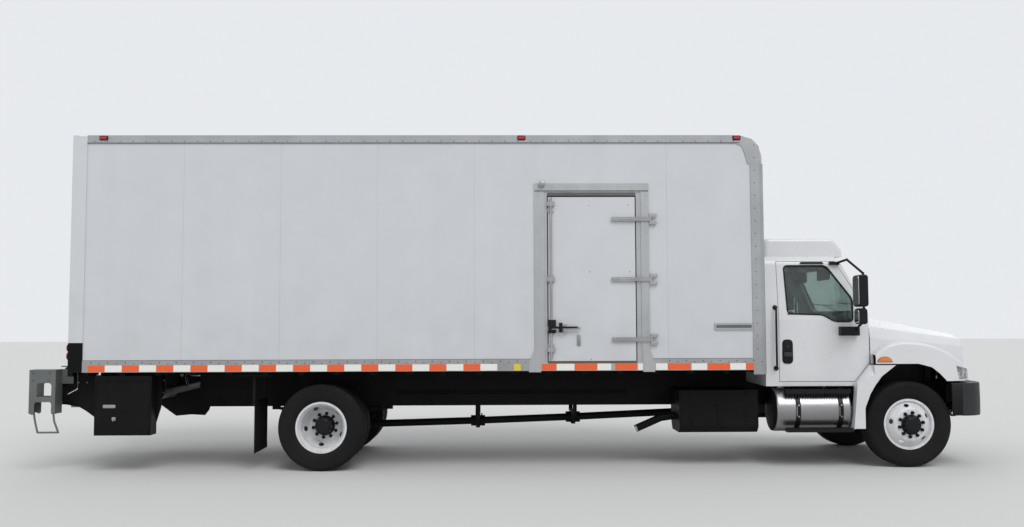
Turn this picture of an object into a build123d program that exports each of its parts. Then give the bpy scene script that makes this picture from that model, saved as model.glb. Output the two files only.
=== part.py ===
from build123d import *
import math
import os

os.makedirs("parts", exist_ok=True)

# Box truck. +X points forward, +Y to the left, +Z up, millimetres.
# The origin is on the ground under the middle of the overall length and width.

# Driving dimensions: stations along the truck
wheelbase = 6910
front_overhang = 1020
rear_overhang = 3340
box_overhang = 2900
cab_back_set = 1662
box_gap = 48
rear_axle_x = (rear_overhang - wheelbase - front_overhang) / 2
front_axle_x = rear_axle_x + wheelbase
tail_x = rear_axle_x - rear_overhang
nose_x = front_axle_x + front_overhang
box_rear_x = rear_axle_x - box_overhang
cab_back_x = front_axle_x - cab_back_set
box_front_x = cab_back_x - box_gap

# Tyres and rims
tyre_radius = 503
tyre_width = 275
rim_radius = 298
bead_radius = 286
rim_width = 224
wheel_offset = 168
stud_circle_radius = 143
axle_z = tyre_radius
front_track_half = 1000
dual_plane_half = 912

# Chassis frame
rail_outer = 432
rail_flange = 80
rail_height = 260
rail_wall = 8
rail_bottom_z = 690
rail_top_z = rail_bottom_z + rail_height
rail_rear_set = 1640
rail_front_set = 770

# Cargo box
box_half = 1295
box_top_z = 3917
box_bottom_z = 1155
floor_top_z = 1250
floor_thick = 35
sill_depth = 100
wall_thick = 22
rail_proud = 10
roof_thick = 25
front_radius = 280
top_rail_height = 90
bottom_rail_height = 135
joint_gap = 0.5
floor_bottom_z = floor_top_z - floor_thick
cross_sill_bottom_z = floor_bottom_z - sill_depth
wall_outer = box_half - rail_proud
wall_inner = wall_outer - wall_thick
roof_under_z = box_top_z - rail_proud - roof_thick
front_wall_half = 1235
corner_block = 64

# Side door, stations from the rear axle
door_frame_rear = 2485
door_frame_front = 3830
door_frame_width = 150
door_frame_top_z = 3344
door_slab_top_z = 3194
door_slab_bottom_z = 1267
door_gap = 5
slab_thick = 40

# Cab
cab_floor_z = 950
cab_wall = 50
cab_sill_half = 1030
cab_belt_half = 1050
cab_belt_z = 1740
cab_eave_half = 975
cab_eave_z = 2400
cab_shoulder_half = 880
cab_roof_z = 2505
cowl_z = 1815
cowl_radius = 3448
brow_radius = 3135
brow_z = 2440
bow_radius = 3060
front_axis_set = 3710
cab_gap = 6


def slab(low, high, mode=Mode.ADD):
    """Box between two opposite corners."""
    size = [b - a for a, b in zip(low, high)]
    middle = [(a + b) / 2 for a, b in zip(low, high)]
    with Locations(tuple(middle)):
        Box(size[0], size[1], size[2], mode=mode)


def side_plane(y):
    """Sketch plane at a given Y: sketch x is X, sketch y is Z, extrusion runs towards -Y."""
    return Plane.XZ.offset(-y)


def front_plane(x):
    """Sketch plane at a given X: sketch x is Y, sketch y is Z, extrusion runs towards +X."""
    return Plane.YZ.offset(x)


def top_plane(z):
    """Sketch plane at a given Z."""
    return Plane.XY.offset(z)


def plate_xz(points, y_low, y_high, mode=Mode.ADD):
    """Plate with an outline seen from the side, between two Y values."""
    with BuildSketch(side_plane(y_high)) as face:
        with BuildLine():
            Polyline(*points, close=True)
        make_face()
    extrude(face.sketch, amount=y_high - y_low, mode=mode)


def plate_yz(points, x_low, x_high, mode=Mode.ADD):
    """Plate with an outline seen from the front, between two X values."""
    with BuildSketch(front_plane(x_low)) as face:
        with BuildLine():
            Polyline(*points, close=True)
        make_face()
    extrude(face.sketch, amount=x_high - x_low, mode=mode)


def plate_xy(points, z_low, z_high, mode=Mode.ADD):
    """Plate with an outline seen from above, between two Z values."""
    with BuildSketch(top_plane(z_low)) as face:
        with BuildLine():
            Polyline(*points, close=True)
        make_face()
    extrude(face.sketch, amount=z_high - z_low, mode=mode)


def round_bar(start, end, radius, mode=Mode.ADD):
    """Straight round bar between two points."""
    path = Vector(*end) - Vector(*start)
    with BuildSketch(Plane(origin=start, z_dir=path)) as face:
        Circle(radius)
    extrude(face.sketch, amount=path.length, mode=mode)


def save(part, name):
    part.label = name
    export_step(part, "parts/" + name + ".step")


# Ladder frame: two channels opening inwards, and cross members between them
cross_member_depth = 180
cross_member_flange = 70
cross_member_stations = [-1640, -640, 460, 1560, 2660, 3760, 4700]
rail_rear_x = rear_axle_x - rail_rear_set
rail_front_x = front_axle_x + rail_front_set
cross_member_places = [rear_axle_x + station for station in cross_member_stations]
cross_member_places.append(rail_front_x - cross_member_flange)
with BuildPart() as chassis_frame:
    for side in (1, -1):
        web_outer = side * rail_outer
        web_inner = side * (rail_outer - rail_wall)
        flange_tip = side * (rail_outer - rail_flange)
        channel = [
            (web_outer, rail_bottom_z),
            (web_outer, rail_top_z),
            (flange_tip, rail_top_z),
            (flange_tip, rail_top_z - rail_wall),
            (web_inner, rail_top_z - rail_wall),
            (web_inner, rail_bottom_z + rail_wall),
            (flange_tip, rail_bottom_z + rail_wall),
            (flange_tip, rail_bottom_z),
        ]
        plate_yz(channel, rail_rear_x, rail_front_x)
    for x in cross_member_places:
        low_z = rail_bottom_z + (rail_height - cross_member_depth) / 2
        member_half = rail_outer - rail_wall - 0.3
        slab((x, -member_half, low_z), (x + rail_wall, member_half, low_z + cross_member_depth))
        slab((x, -member_half, low_z), (x + cross_member_flange, member_half, low_z + rail_wall))
save(chassis_frame.part, "chassis_frame")

# Engine with gearbox, fan shroud and radiator, one plain mass
engine_half = 300
engine_bottom_z = 640
engine_top_z = 1420
engine_rear = -250
engine_front = 400
sump_rear = -880
gearbox_rear = -1560
radiator_front = 620
radiator_half = 348
radiator_top_z = 1440
with BuildPart() as engine_block:
    engine_low = (front_axle_x + engine_rear, -engine_half, engine_bottom_z)
    slab(engine_low, (front_axle_x + engine_front, engine_half, engine_top_z - 60))
    slab((front_axle_x + sump_rear, -engine_half, engine_bottom_z), (front_axle_x + engine_rear, engine_half, 935))
    slab((front_axle_x + gearbox_rear, -210, 560), (front_axle_x + sump_rear, 210, 900))
    slab((front_axle_x + engine_front, -260, 780), (front_axle_x + radiator_front - 70, 260, 1300))
    radiator_low = (front_axle_x + radiator_front - 70, -radiator_half, 740)
    slab(radiator_low, (front_axle_x + radiator_front, radiator_half, radiator_top_z))
    rail_lip = rail_outer - rail_wall - joint_gap
    for x in (front_axle_x + 60, front_axle_x + sump_rear + 40):
        slab((x, -rail_lip, 820), (x + 90, rail_lip, 860))
save(engine_block.part, "engine_block")

# Drive line: three tubes in line, with yokes and hanger bearings
shaft_points = [(390, 425), (1800, 462), (3020, 505), (5150, 600)]
shaft_radius = 45
yoke_radius = 68
yoke_length = 90
hanger_half = 360
with BuildPart() as drive_shafts:
    for (xa, za), (xb, zb) in zip(shaft_points[:-1], shaft_points[1:]):
        start = (rear_axle_x + xa, 0, za)
        end = (rear_axle_x + xb, 0, zb)
        round_bar(start, end, shaft_radius)
    for xa, za in shaft_points[1:-1]:
        bearing_x = rear_axle_x + xa
        round_bar((bearing_x - yoke_length, 0, za), (bearing_x + yoke_length, 0, za), yoke_radius)
        slab((bearing_x - 25, -110, za - 80), (bearing_x + 25, 110, za + 80))
        slab((bearing_x - 25, -hanger_half, za + 50), (bearing_x + 25, hanger_half, za + 80))
        for side in (1, -1):
            leg_y = sorted((side * hanger_half, side * (hanger_half - 12)))
            slab((bearing_x - 25, leg_y[0], za + 50), (bearing_x + 25, leg_y[1], rail_bottom_z))
save(drive_shafts.part, "drive_shafts")

# Rear axle: banjo housing, tubes and spindles
spindle_radius = 52
housing_radius = 205
with BuildPart() as rear_axle:
    axle_start = (rear_axle_x, -dual_plane_half, axle_z)
    axle_end = (rear_axle_x, dual_plane_half, axle_z)
    round_bar(axle_start, axle_end, spindle_radius)
    slab((rear_axle_x - 62, -560, axle_z - 68), (rear_axle_x + 62, 560, axle_z + 68))
    round_bar((rear_axle_x - 150, 0, axle_z), (rear_axle_x + 110, 0, axle_z), housing_radius)
    pinion_tip = (rear_axle_x + shaft_points[0][0] - 4, 0, shaft_points[0][1])
    with BuildSketch(Plane(origin=(rear_axle_x + 100, 0, axle_z - 30), z_dir=(1, 0, 0))):
        Circle(150)
    with BuildSketch(Plane(origin=pinion_tip, z_dir=(1, 0, 0))):
        Circle(70)
    loft()
save(rear_axle.part, "rear_axle")

# Leaf springs, one pack under each rail at each axle, with hangers up to the rails
spring_half_width = 40
spring_y = rail_outer - 42
leaf_thick = 13
front_spring_seat_z = 482
spring_table = [
    # axle station, seat height, leaf count, half length, arch height
    (rear_axle_x, axle_z + 68.3, 8, 700, 90),
    (front_axle_x, front_spring_seat_z, 3, 640, 110),
]
with BuildPart() as leaf_springs:
    for axle_x, seat_z, leaf_count, half_length, arch in spring_table:
        pack = leaf_thick * leaf_count
        bow = (half_length ** 2 + arch ** 2) / (2 * arch)
        for side in (1, -1):
            y_low = side * spring_y - spring_half_width
            with BuildSketch(side_plane(y_low + 2 * spring_half_width)):
                with BuildLine():
                    low_arc = ThreePointArc(
                        (axle_x - half_length, seat_z + arch),
                        (axle_x, seat_z),
                        (axle_x + half_length, seat_z + arch),
                    )
                    Line(low_arc @ 1, (axle_x + half_length, seat_z + arch + leaf_thick))
                    Line(
                        (axle_x + half_length, seat_z + arch + leaf_thick),
                        (axle_x + half_length * 0.25, seat_z + pack + arch * 0.0625),
                    )
                    Line(
                        (axle_x + half_length * 0.25, seat_z + pack + arch * 0.0625),
                        (axle_x - half_length * 0.25, seat_z + pack + arch * 0.0625),
                    )
                    Line(
                        (axle_x - half_length * 0.25, seat_z + pack + arch * 0.0625),
                        (axle_x - half_length, seat_z + arch + leaf_thick),
                    )
                    Line((axle_x - half_length, seat_z + arch + leaf_thick), low_arc @ 0)
                make_face()
            extrude(amount=2 * spring_half_width)
            for end in (-1, 1):
                hanger_x = axle_x + end * half_length
                hanger_low = (hanger_x - 45, side * spring_y - 30, seat_z + arch - 12)
                slab(hanger_low, (hanger_x + 45, side * spring_y + 30, rail_bottom_z))
save(leaf_springs.part, "leaf_springs")

# Front axle beam with kingpin bosses
kingpin_y = 880
beam_drop = 70
boss_radius = 42
boss_height = 110
kingpin_radius = 20
kingpin_clear = 0.4
beam_half_depth = 45
beam_half_width = 45
with BuildPart() as front_axle:
    beam_low = axle_z - beam_drop - beam_half_depth
    beam_high = axle_z - beam_drop + beam_half_depth
    beam = [
        (-kingpin_y, axle_z - 45),
        (-kingpin_y + 120, axle_z - 45),
        (-kingpin_y + 280, beam_low),
        (kingpin_y - 280, beam_low),
        (kingpin_y - 120, axle_z - 45),
        (kingpin_y, axle_z - 45),
        (kingpin_y, axle_z + 45),
        (kingpin_y - 200, beam_high),
        (-kingpin_y + 200, beam_high),
        (-kingpin_y, axle_z + 45),
    ]
    plate_yz(beam, front_axle_x - beam_half_width + 8, front_axle_x + beam_half_width - 8)
    for side in (1, -1):
        boss_low = (front_axle_x, side * kingpin_y, axle_z - boss_height / 2)
        boss_high = (front_axle_x, side * kingpin_y, axle_z + boss_height / 2)
        round_bar(boss_low, boss_high, boss_radius)
        seat_low = (front_axle_x - 60, side * spring_y - 50, beam_low)
        slab(seat_low, (front_axle_x + 60, side * spring_y + 50, front_spring_seat_z))
    for side in (1, -1):
        boss_low = (front_axle_x, side * kingpin_y, axle_z - boss_height)
        boss_high = (front_axle_x, side * kingpin_y, axle_z + boss_height)
        round_bar(boss_low, boss_high, kingpin_radius + kingpin_clear, Mode.SUBTRACT)
save(front_axle.part, "front_axle")

# Steering knuckles: kingpin, two ears, web, spindle and a steering arm
ear_gap = 0.5
ear_thick = 26
ear_radius = 42
web_inner_y = kingpin_y + 48
web_outer_y = kingpin_y + 72
front_spindle_radius = 35
front_spindle_end = front_track_half + 130
arm_reach = 190
arm_z = axle_z - boss_height / 2 - ear_gap - ear_thick
arm_inset = 72
with BuildPart() as knuckle_right:
    ear_low_z = axle_z - boss_height / 2 - ear_gap - ear_thick
    ear_high_z = axle_z + boss_height / 2 + ear_gap
    round_bar((front_axle_x, -kingpin_y, ear_low_z), (front_axle_x, -kingpin_y, ear_high_z + ear_thick), kingpin_radius)
    for ear_z in (ear_low_z, ear_high_z):
        round_bar((front_axle_x, -kingpin_y, ear_z), (front_axle_x, -kingpin_y, ear_z + ear_thick), ear_radius)
        slab(
            (front_axle_x - ear_radius, -web_outer_y, ear_z),
            (front_axle_x + ear_radius, -kingpin_y, ear_z + ear_thick),
        )
    slab(
        (front_axle_x - 60, -web_outer_y, ear_low_z),
        (front_axle_x + 60, -web_inner_y, ear_high_z + ear_thick),
    )
    round_bar((front_axle_x, -web_inner_y, axle_z), (front_axle_x, -front_spindle_end, axle_z), front_spindle_radius)
    arm = [
        (front_axle_x - arm_reach, -kingpin_y + arm_inset - 22),
        (front_axle_x, -kingpin_y - 30),
        (front_axle_x, -kingpin_y + 30),
        (front_axle_x - arm_reach, -kingpin_y + arm_inset + 22),
    ]
    plate_xy(arm, arm_z, arm_z + ear_thick)
    arm_end = (front_axle_x - arm_reach, -kingpin_y + arm_inset, arm_z)
    round_bar(arm_end, (arm_end[0], arm_end[1], arm_z + ear_thick), 28)
save(knuckle_right.part, "knuckle_right")
with BuildPart() as knuckle_left:
    mirror(knuckle_right.part, about=Plane.XZ)
save(knuckle_left.part, "knuckle_left")

# Tie rod under the two steering arms
tie_radius = 19
tie_gap = 0.3
tie_z = arm_z - tie_gap - 34
with BuildPart() as tie_rod:
    tie_x = front_axle_x - arm_reach
    tie_half = kingpin_y - arm_inset
    round_bar((tie_x, -tie_half, tie_z), (tie_x, tie_half, tie_z), tie_radius)
    for side in (1, -1):
        round_bar((tie_x, side * tie_half, tie_z - 26), (tie_x, side * tie_half, arm_z - tie_gap), 24)
save(tie_rod.part, "tie_rod")

# Tyre section: bead, bulging wall, shoulder and tread, turned about the axle
tyre_half = tyre_width / 2
tread_half = tyre_half - 34
shoulder_drop = 22
bead_half = tyre_half - 26
seat_clear = 0.3


def wheel_plane(axle_x, centre_y):
    """Upright plane through the axle: sketch x runs along the axle, sketch y is the radius."""
    return Plane(origin=(axle_x, centre_y, axle_z), x_dir=(0, 1, 0), z_dir=(1, 0, 0))


def tyre(axle_x, centre_y):
    with BuildSketch(wheel_plane(axle_x, centre_y)) as section:
        with BuildLine():
            wall_left = ThreePointArc(
                (-bead_half, rim_radius + seat_clear),
                (-tyre_half, (rim_radius + tyre_radius) / 2),
                (-tread_half - 18, tyre_radius - shoulder_drop),
            )
            Polyline(
                wall_left @ 1,
                (-tread_half, tyre_radius),
                (tread_half, tyre_radius),
                (tread_half + 18, tyre_radius - shoulder_drop),
            )
            wall_right = ThreePointArc(
                (tread_half + 18, tyre_radius - shoulder_drop),
                (tyre_half, (rim_radius + tyre_radius) / 2),
                (bead_half, rim_radius + seat_clear),
            )
            Line(wall_right @ 1, wall_left @ 0)
        make_face()
    revolve(section.sketch, axis=Axis((axle_x, 0, axle_z), (0, 1, 0)))


hand_hole_count = 5
hand_hole_circle = 222
hand_hole_angle = 27


def rim(axle_x, centre_y, disc_side):
    """Rim barrel with a disc whose bolting face lies on disc_side of the rim's middle."""
    half = rim_width / 2
    barrel = [
        (-half, rim_radius),
        (-half, bead_radius - 12),
        (-half + 14, bead_radius - 16),
        (-52, 248),
        (52, 248),
        (half - 14, bead_radius - 16),
        (half, bead_radius - 12),
        (half, rim_radius),
        (half - 12, rim_radius),
        (half - 20, bead_radius),
        (60, 262),
        (-60, 262),
        (-half + 20, bead_radius),
        (-half + 12, rim_radius),
    ]
    disc = [
        (62, 262),
        (62, 246),
        (112, 224),
        (150, 190),
        (wheel_offset - 12, 176),
        (wheel_offset - 12, 84),
        (wheel_offset, 84),
        (wheel_offset, 182),
        (158, 198),
        (120, 234),
        (78, 262),
    ]
    with BuildSketch(wheel_plane(axle_x, centre_y)) as section:
        with BuildLine():
            Polyline(*barrel, close=True)
        make_face()
        with BuildLine():
            Polyline(*[(disc_side * y, r) for y, r in disc], close=True)
        make_face()
    revolve(section.sketch, axis=Axis((axle_x, 0, axle_z), (0, 1, 0)))
    hole_start = (axle_x, centre_y + disc_side * 60, axle_z)
    hole_plane = Plane(origin=hole_start, x_dir=(1, 0, 0), z_dir=(0, disc_side, 0))
    with BuildSketch(hole_plane) as holes:
        with PolarLocations(hand_hole_circle, hand_hole_count, start_angle=hand_hole_angle):
            Ellipse(19, 31)
    extrude(holes.sketch, amount=140, mode=Mode.SUBTRACT)


sides = {"right": -1, "left": 1}
hub_radius = 88
drum_outer = 205
drum_inner = 188
spindle_clear = 0.4
for name, side in sides.items():
    with BuildPart() as front_tyre:
        tyre(front_axle_x, side * front_track_half)
    save(front_tyre.part, "front_tyre_" + name)
    with BuildPart() as front_rim:
        rim(front_axle_x, side * front_track_half, side)
        hub_start = (front_axle_x, side * (web_outer_y + 8), axle_z)
        hub_end = (front_axle_x, side * (front_track_half + wheel_offset + 52), axle_z)
        round_bar(hub_start, hub_end, hub_radius)
        drum_end = (front_axle_x, side * (web_outer_y + 96), axle_z)
        round_bar(hub_start, drum_end, drum_outer)
        with BuildSketch(Plane(origin=hub_start, z_dir=(0, side, 0))) as drum_hollow:
            Circle(drum_inner)
            Circle(hub_radius, mode=Mode.SUBTRACT)
        extrude(drum_hollow.sketch, amount=76, mode=Mode.SUBTRACT)
        bore_end = (front_axle_x, side * (front_spindle_end + 1), axle_z)
        round_bar(hub_start, bore_end, front_spindle_radius + spindle_clear, Mode.SUBTRACT)
    save(front_rim.part, "front_rim_" + name)
    with BuildPart() as rear_tyres:
        for centre in (dual_plane_half - wheel_offset, dual_plane_half + wheel_offset):
            tyre(rear_axle_x, side * centre)
    save(rear_tyres.part, "rear_tyres_" + name)
    with BuildPart() as rear_rims:
        rim(rear_axle_x, side * (dual_plane_half - wheel_offset), side)
        rim(rear_axle_x, side * (dual_plane_half + wheel_offset), -side)
        hub_start = (rear_axle_x, side * 660, axle_z)
        hub_end = (rear_axle_x, side * (dual_plane_half + 150), axle_z)
        round_bar(hub_start, hub_end, hub_radius)
        round_bar(hub_start, (rear_axle_x, side * 830, axle_z), drum_outer)
        with BuildSketch(Plane(origin=hub_start, z_dir=(0, side, 0))) as drum_hollow:
            Circle(drum_inner)
            Circle(hub_radius, mode=Mode.SUBTRACT)
        extrude(drum_hollow.sketch, amount=158, mode=Mode.SUBTRACT)
        bore_end = (rear_axle_x, side * (dual_plane_half + 1), axle_z)
        round_bar(hub_start, bore_end, spindle_radius + spindle_clear, Mode.SUBTRACT)
    save(rear_rims.part, "rear_rims_" + name)

# Fuel tank on the right, between the cab steps
tank_radius = 258
tank_rear = 5345
tank_front = 6235
tank_y = -868
tank_z = 665
with BuildPart() as fuel_tank:
    tank_start = (rear_axle_x + tank_rear, tank_y, tank_z)
    tank_end = (rear_axle_x + tank_front, tank_y, tank_z)
    round_bar(tank_start, tank_end, tank_radius)
    tank_rims = fuel_tank.edges().filter_by(GeomType.CIRCLE)
    fillet(tank_rims, radius=28)
    cap_top = (rear_axle_x + tank_rear + 130, tank_y + 40, tank_z + tank_radius + 18)
    round_bar((cap_top[0], cap_top[1], tank_z + 200), cap_top, 48)
save(fuel_tank.part, "fuel_tank")

# Steps and straps round the tank, and the same steps before the battery box
strap_stations = [5600, 6106]
strap_width = 56
strap_gap = 0.3
strap_thick = 6
step_rear = 5455
step_front = 6270
with BuildPart() as tank_steps:
    for station in strap_stations:
        strap_x = rear_axle_x + station
        with BuildSketch(front_plane(strap_x - strap_width / 2)) as strap:
            with Locations((tank_y, tank_z)):
                Circle(tank_radius + strap_gap + strap_thick)
                Circle(tank_radius + strap_gap, mode=Mode.SUBTRACT)
        extrude(strap.sketch, amount=strap_width)
        slab((strap_x - 28, -620, 560), (strap_x + 28, -rail_outer, 780))
        with BuildSketch(front_plane(strap_x - strap_width / 2)) as core:
            with Locations((tank_y, tank_z)):
                Circle(tank_radius + strap_gap)
        extrude(core.sketch, amount=strap_width, mode=Mode.SUBTRACT)
    for low_z, y_out, depth in ((418, -1165, 105), (868, -1120, 85)):
        step_low = (rear_axle_x + step_rear, y_out, low_z)
        slab(step_low, (rear_axle_x + step_front - 40, y_out + depth, low_z + 46))
        for station in strap_stations:
            strap_x = rear_axle_x + station
            slab((strap_x - 20, y_out + depth - 5, low_z + 8), (strap_x + 20, tank_y - 60, low_z + 40))
    for station in strap_stations:
        with BuildSketch(front_plane(rear_axle_x + station - 30)) as core:
            with Locations((tank_y, tank_z)):
                Circle(tank_radius + strap_gap)
        extrude(core.sketch, amount=60, mode=Mode.SUBTRACT)
save(tank_steps.part, "tank_steps")

# Black boxes hung on the rails: battery box on the left, exhaust box on the right
with BuildPart() as chassis_boxes:
    slab((rear_axle_x + step_rear, rail_outer, 440), (rear_axle_x + step_front - 40, 1010, 900))
    for low_z, y_out in ((418, 1165), (868, 1120)):
        slab((rear_axle_x + step_rear, 1009, low_z), (rear_axle_x + step_front - 40, y_out, low_z + 46))
    exhaust = [
        (-rail_outer, 905),
        (-1000, 905),
        (-1000, 470),
        (-930, 401),
        (-520, 401),
        (-rail_outer, 520),
    ]
    plate_yz(exhaust, rear_axle_x + 4215, rear_axle_x + 5157)
    pipe_start = (rear_axle_x + 4216, -700, 580)
    pipe_elbow = (rear_axle_x + 4040, -700, 556)
    pipe_end = (rear_axle_x + 3745, -700, 428)
    round_bar(pipe_start, pipe_elbow, 45)
    with Locations(pipe_elbow):
        Sphere(45)
    round_bar(pipe_elbow, pipe_end, 45)
save(chassis_boxes.part, "chassis_boxes")

# Front bumper: a bent bar with swept ends, carried on the rail fronts
bumper_low_z = 606
bumper_high_z = 985
bumper_half = 1165
bumper_end = 500
tow_eye_x = front_axle_x + 865
tow_eye_z = 565
tow_eye_radius = 21
tow_thick = 24
hood_hinge_x = front_axle_x + 890
hood_hinge_y = 300
hood_hinge_z = 1018
bumper_wall = 12
bumper_seat_x = front_axle_x + 800


def bumper_plan(z, inset, back):
    """Bumper seen from above: its front curves moved in by inset, its back edge moved back by back."""
    with BuildSketch(top_plane(z)) as plan:
        with BuildLine():
            half = bumper_half - inset
            corner = (front_axle_x + 940 - inset, 890)
            end = (front_axle_x + 640, half)
            face = ThreePointArc((corner[0], -corner[1]), (nose_x - inset, 0), corner)
            bend = ThreePointArc(face @ 1, (front_axle_x + 872 - 0.7 * inset, 1046 - 0.7 * inset), end)
            back_points = Polyline(
                bend @ 1,
                (front_axle_x + bumper_end - back, half),
                (front_axle_x + bumper_end - back, bumper_half - 60),
                (front_axle_x + 620 - back, bumper_half - 80),
                (bumper_seat_x - back, bumper_half - 270),
                (bumper_seat_x - back, 0),
            )
            add(mirror(bend, about=Plane.XZ, mode=Mode.PRIVATE))
            add(mirror(back_points, about=Plane.XZ, mode=Mode.PRIVATE))
        make_face()
    return plan.sketch


with BuildPart() as front_bumper:
    extrude(bumper_plan(bumper_low_z, 0, 0), amount=bumper_high_z - bumper_low_z)
    hollow_height = bumper_high_z - bumper_low_z - 2 * bumper_wall
    hollow = bumper_plan(bumper_low_z + bumper_wall, bumper_wall, bumper_wall)
    extrude(hollow, amount=hollow_height, mode=Mode.SUBTRACT)
    for side in (1, -1):
        y_low = side * (rail_outer - 40) - 40
        slab((rail_front_x, y_low, rail_bottom_z + 20), (nose_x - 28, y_low + 80, rail_top_z - 20))
        tow_plate = [
            (front_axle_x + 802, bumper_low_z + 40),
            (front_axle_x + 802, bumper_low_z),
            (tow_eye_x - 40, tow_eye_z - 20),
            (tow_eye_x - 24, tow_eye_z - 40),
            (tow_eye_x + 24, tow_eye_z - 40),
            (tow_eye_x + 40, tow_eye_z - 20),
            (tow_eye_x + 40, bumper_low_z + 40),
        ]
        y_low = side * (rail_outer - 40) - tow_thick / 2
        plate_xz(tow_plate, y_low, y_low + tow_thick)
        tow_start = (tow_eye_x, y_low - 1, tow_eye_z)
        round_bar(tow_start, (tow_eye_x, y_low + tow_thick + 1, tow_eye_z), tow_eye_radius, Mode.SUBTRACT)
        y_low = side * hood_hinge_y
        for y in (y_low - 28, y_low + 18):
            bracket = [
                (front_axle_x + 802, bumper_high_z - 30),
                (hood_hinge_x + 26, bumper_high_z - 30),
                (hood_hinge_x + 26, hood_hinge_z + 26),
                (hood_hinge_x - 26, hood_hinge_z + 26),
                (front_axle_x + 802, bumper_high_z + 6),
            ]
            plate_xz(bracket, y, y + 10)
        pin_start = (hood_hinge_x, y_low - 28, hood_hinge_z)
        round_bar(pin_start, (hood_hinge_x, y_low + 28, hood_hinge_z), 14)
save(front_bumper.part, "front_bumper")

# Cab shell: one section swept forward, its front turned about an upright axis
cab_axis_x = front_axle_x - front_axis_set
cab_front_reach = 1900


def cab_tunnel(inset):
    """Long solid of the cab's cross-section moved inwards by inset, not yet turned at the front."""
    half_points = [
        (cab_sill_half - inset, cab_floor_z + inset),
        (cab_belt_half - inset, cab_belt_z),
        (cab_eave_half - inset, cab_eave_z),
        (cab_shoulder_half - inset, cab_roof_z - inset),
    ]
    with BuildSketch(front_plane(cab_back_x + inset)) as section:
        with BuildLine():
            Polyline(*half_points[:3])
            TangentArc(half_points[2], half_points[3], tangent=(-0.11, 0.99))
            Line(half_points[3], (-half_points[3][0], half_points[3][1]))
            Polyline(*[(-y, z) for y, z in half_points[:3]])
            left_eave, left_shoulder = [(-y, z) for y, z in half_points[2:]]
            TangentArc(left_eave, left_shoulder, tangent=(0.11, 0.99))
            Line((-half_points[0][0], half_points[0][1]), half_points[0])
        make_face()
    return extrude(section.sketch, amount=cab_front_reach, mode=Mode.PRIVATE)


def cab_form(inset):
    """Solid of the cab's outer surface moved inwards by inset."""
    front_points = [
        (0, cab_floor_z - 50),
        (cowl_radius - inset, cab_floor_z - 50),
        (cowl_radius - inset, cowl_z),
        (brow_radius - inset, brow_z),
        (bow_radius - inset, cab_roof_z),
        (bow_radius - inset, cab_roof_z + 100),
        (0, cab_roof_z + 100),
    ]
    with BuildSketch(Plane(origin=(cab_axis_x, 0, 0), x_dir=(1, 0, 0), z_dir=(0, -1, 0))) as front:
        with BuildLine():
            Polyline(*front_points, close=True)
        make_face()
    with BuildPart() as form:
        add(cab_tunnel(inset))
        revolve(front.sketch, axis=Axis((cab_axis_x, 0, 0), (0, 0, 1)), mode=Mode.INTERSECT)
    return form.part


def prism_xz(points, y_low, y_high, radius=0, margin=0):
    """Loose prism with an outline seen from the side, its corners rounded, then grown by margin."""
    with BuildSketch(side_plane(y_high)) as face:
        with BuildLine():
            Polyline(*points, close=True)
        make_face()
        if radius > 0:
            fillet(face.vertices(), radius=radius)
        if margin != 0:
            offset(amount=margin, kind=Kind.INTERSECTION, mode=Mode.REPLACE)
    return extrude(face.sketch, amount=y_high - y_low, mode=Mode.PRIVATE)


def prism_yz(points, x_low, x_high, radius=0, margin=0):
    """Loose prism with an outline seen from the front, its corners rounded, then grown by margin."""
    with BuildSketch(front_plane(x_low)) as face:
        with BuildLine():
            Polyline(*points, close=True)
        make_face()
        if radius > 0:
            fillet(face.vertices(), radius=radius)
        if margin != 0:
            offset(amount=margin, kind=Kind.INTERSECTION, mode=Mode.REPLACE)
    return extrude(face.sketch, amount=x_high - x_low, mode=Mode.PRIVATE)


door_rear_x = front_axle_x - 1499
door_front_x = front_axle_x - 415
door_bottom_z = 1006
door_top_z = 2438
door_outline = [
    (door_rear_x, door_bottom_z),
    (door_front_x - 185, door_bottom_z),
    (door_front_x, 1237),
    (door_front_x, 1800),
    (door_front_x - 375, door_top_z),
    (door_rear_x, door_top_z),
]
window_outline = [
    (front_axle_x - 1390, 1812),
    (front_axle_x - 975, 1800),
    (front_axle_x - 830, 1715),
    (front_axle_x - 612, 1715),
    (front_axle_x - 606, 1985),
    (front_axle_x - 900, 2388),
    (front_axle_x - 1412, 2388),
]
windshield_outline = [(-905, 1850), (905, 1850), (835, 2398), (-835, 2398)]
far_y = 1300
cab_outer = cab_form(0)
cab_shell = cab_outer - cab_form(cab_wall)
door_space = prism_xz(door_outline, -far_y, far_y, margin=cab_gap) - cab_tunnel(cab_wall + cab_gap)
floor_top = cab_floor_z + cab_wall
roof_split_z = door_top_z + cab_gap
cab_middle_x = front_axle_x - 1000
cab_back_far = cab_back_x - 100
cab_front_far = cab_back_x + cab_front_reach

with BuildPart() as cab_floor:
    add(cab_shell)
    split(bisect_by=Plane.XY.offset(floor_top), keep=Keep.BOTTOM)
save(cab_floor.part, "cab_floor")

with BuildPart() as cab_roof:
    add(cab_shell)
    split(bisect_by=Plane.XY.offset(roof_split_z), keep=Keep.TOP)
save(cab_roof.part, "cab_roof")

with BuildPart() as cab_back:
    add(cab_shell)
    add(door_space, mode=Mode.SUBTRACT)
    slab((cab_back_far, -far_y, floor_top), (cab_middle_x, far_y, roof_split_z), Mode.INTERSECT)
save(cab_back.part, "cab_back")

with BuildPart() as cab_front:
    add(cab_shell)
    add(door_space, mode=Mode.SUBTRACT)
    slab((cab_middle_x, -far_y, floor_top), (cab_front_far, far_y, roof_split_z), Mode.INTERSECT)
    add(prism_yz(windshield_outline, cab_middle_x, cab_front_far, 60), mode=Mode.SUBTRACT)
save(cab_front.part, "cab_front")

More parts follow.
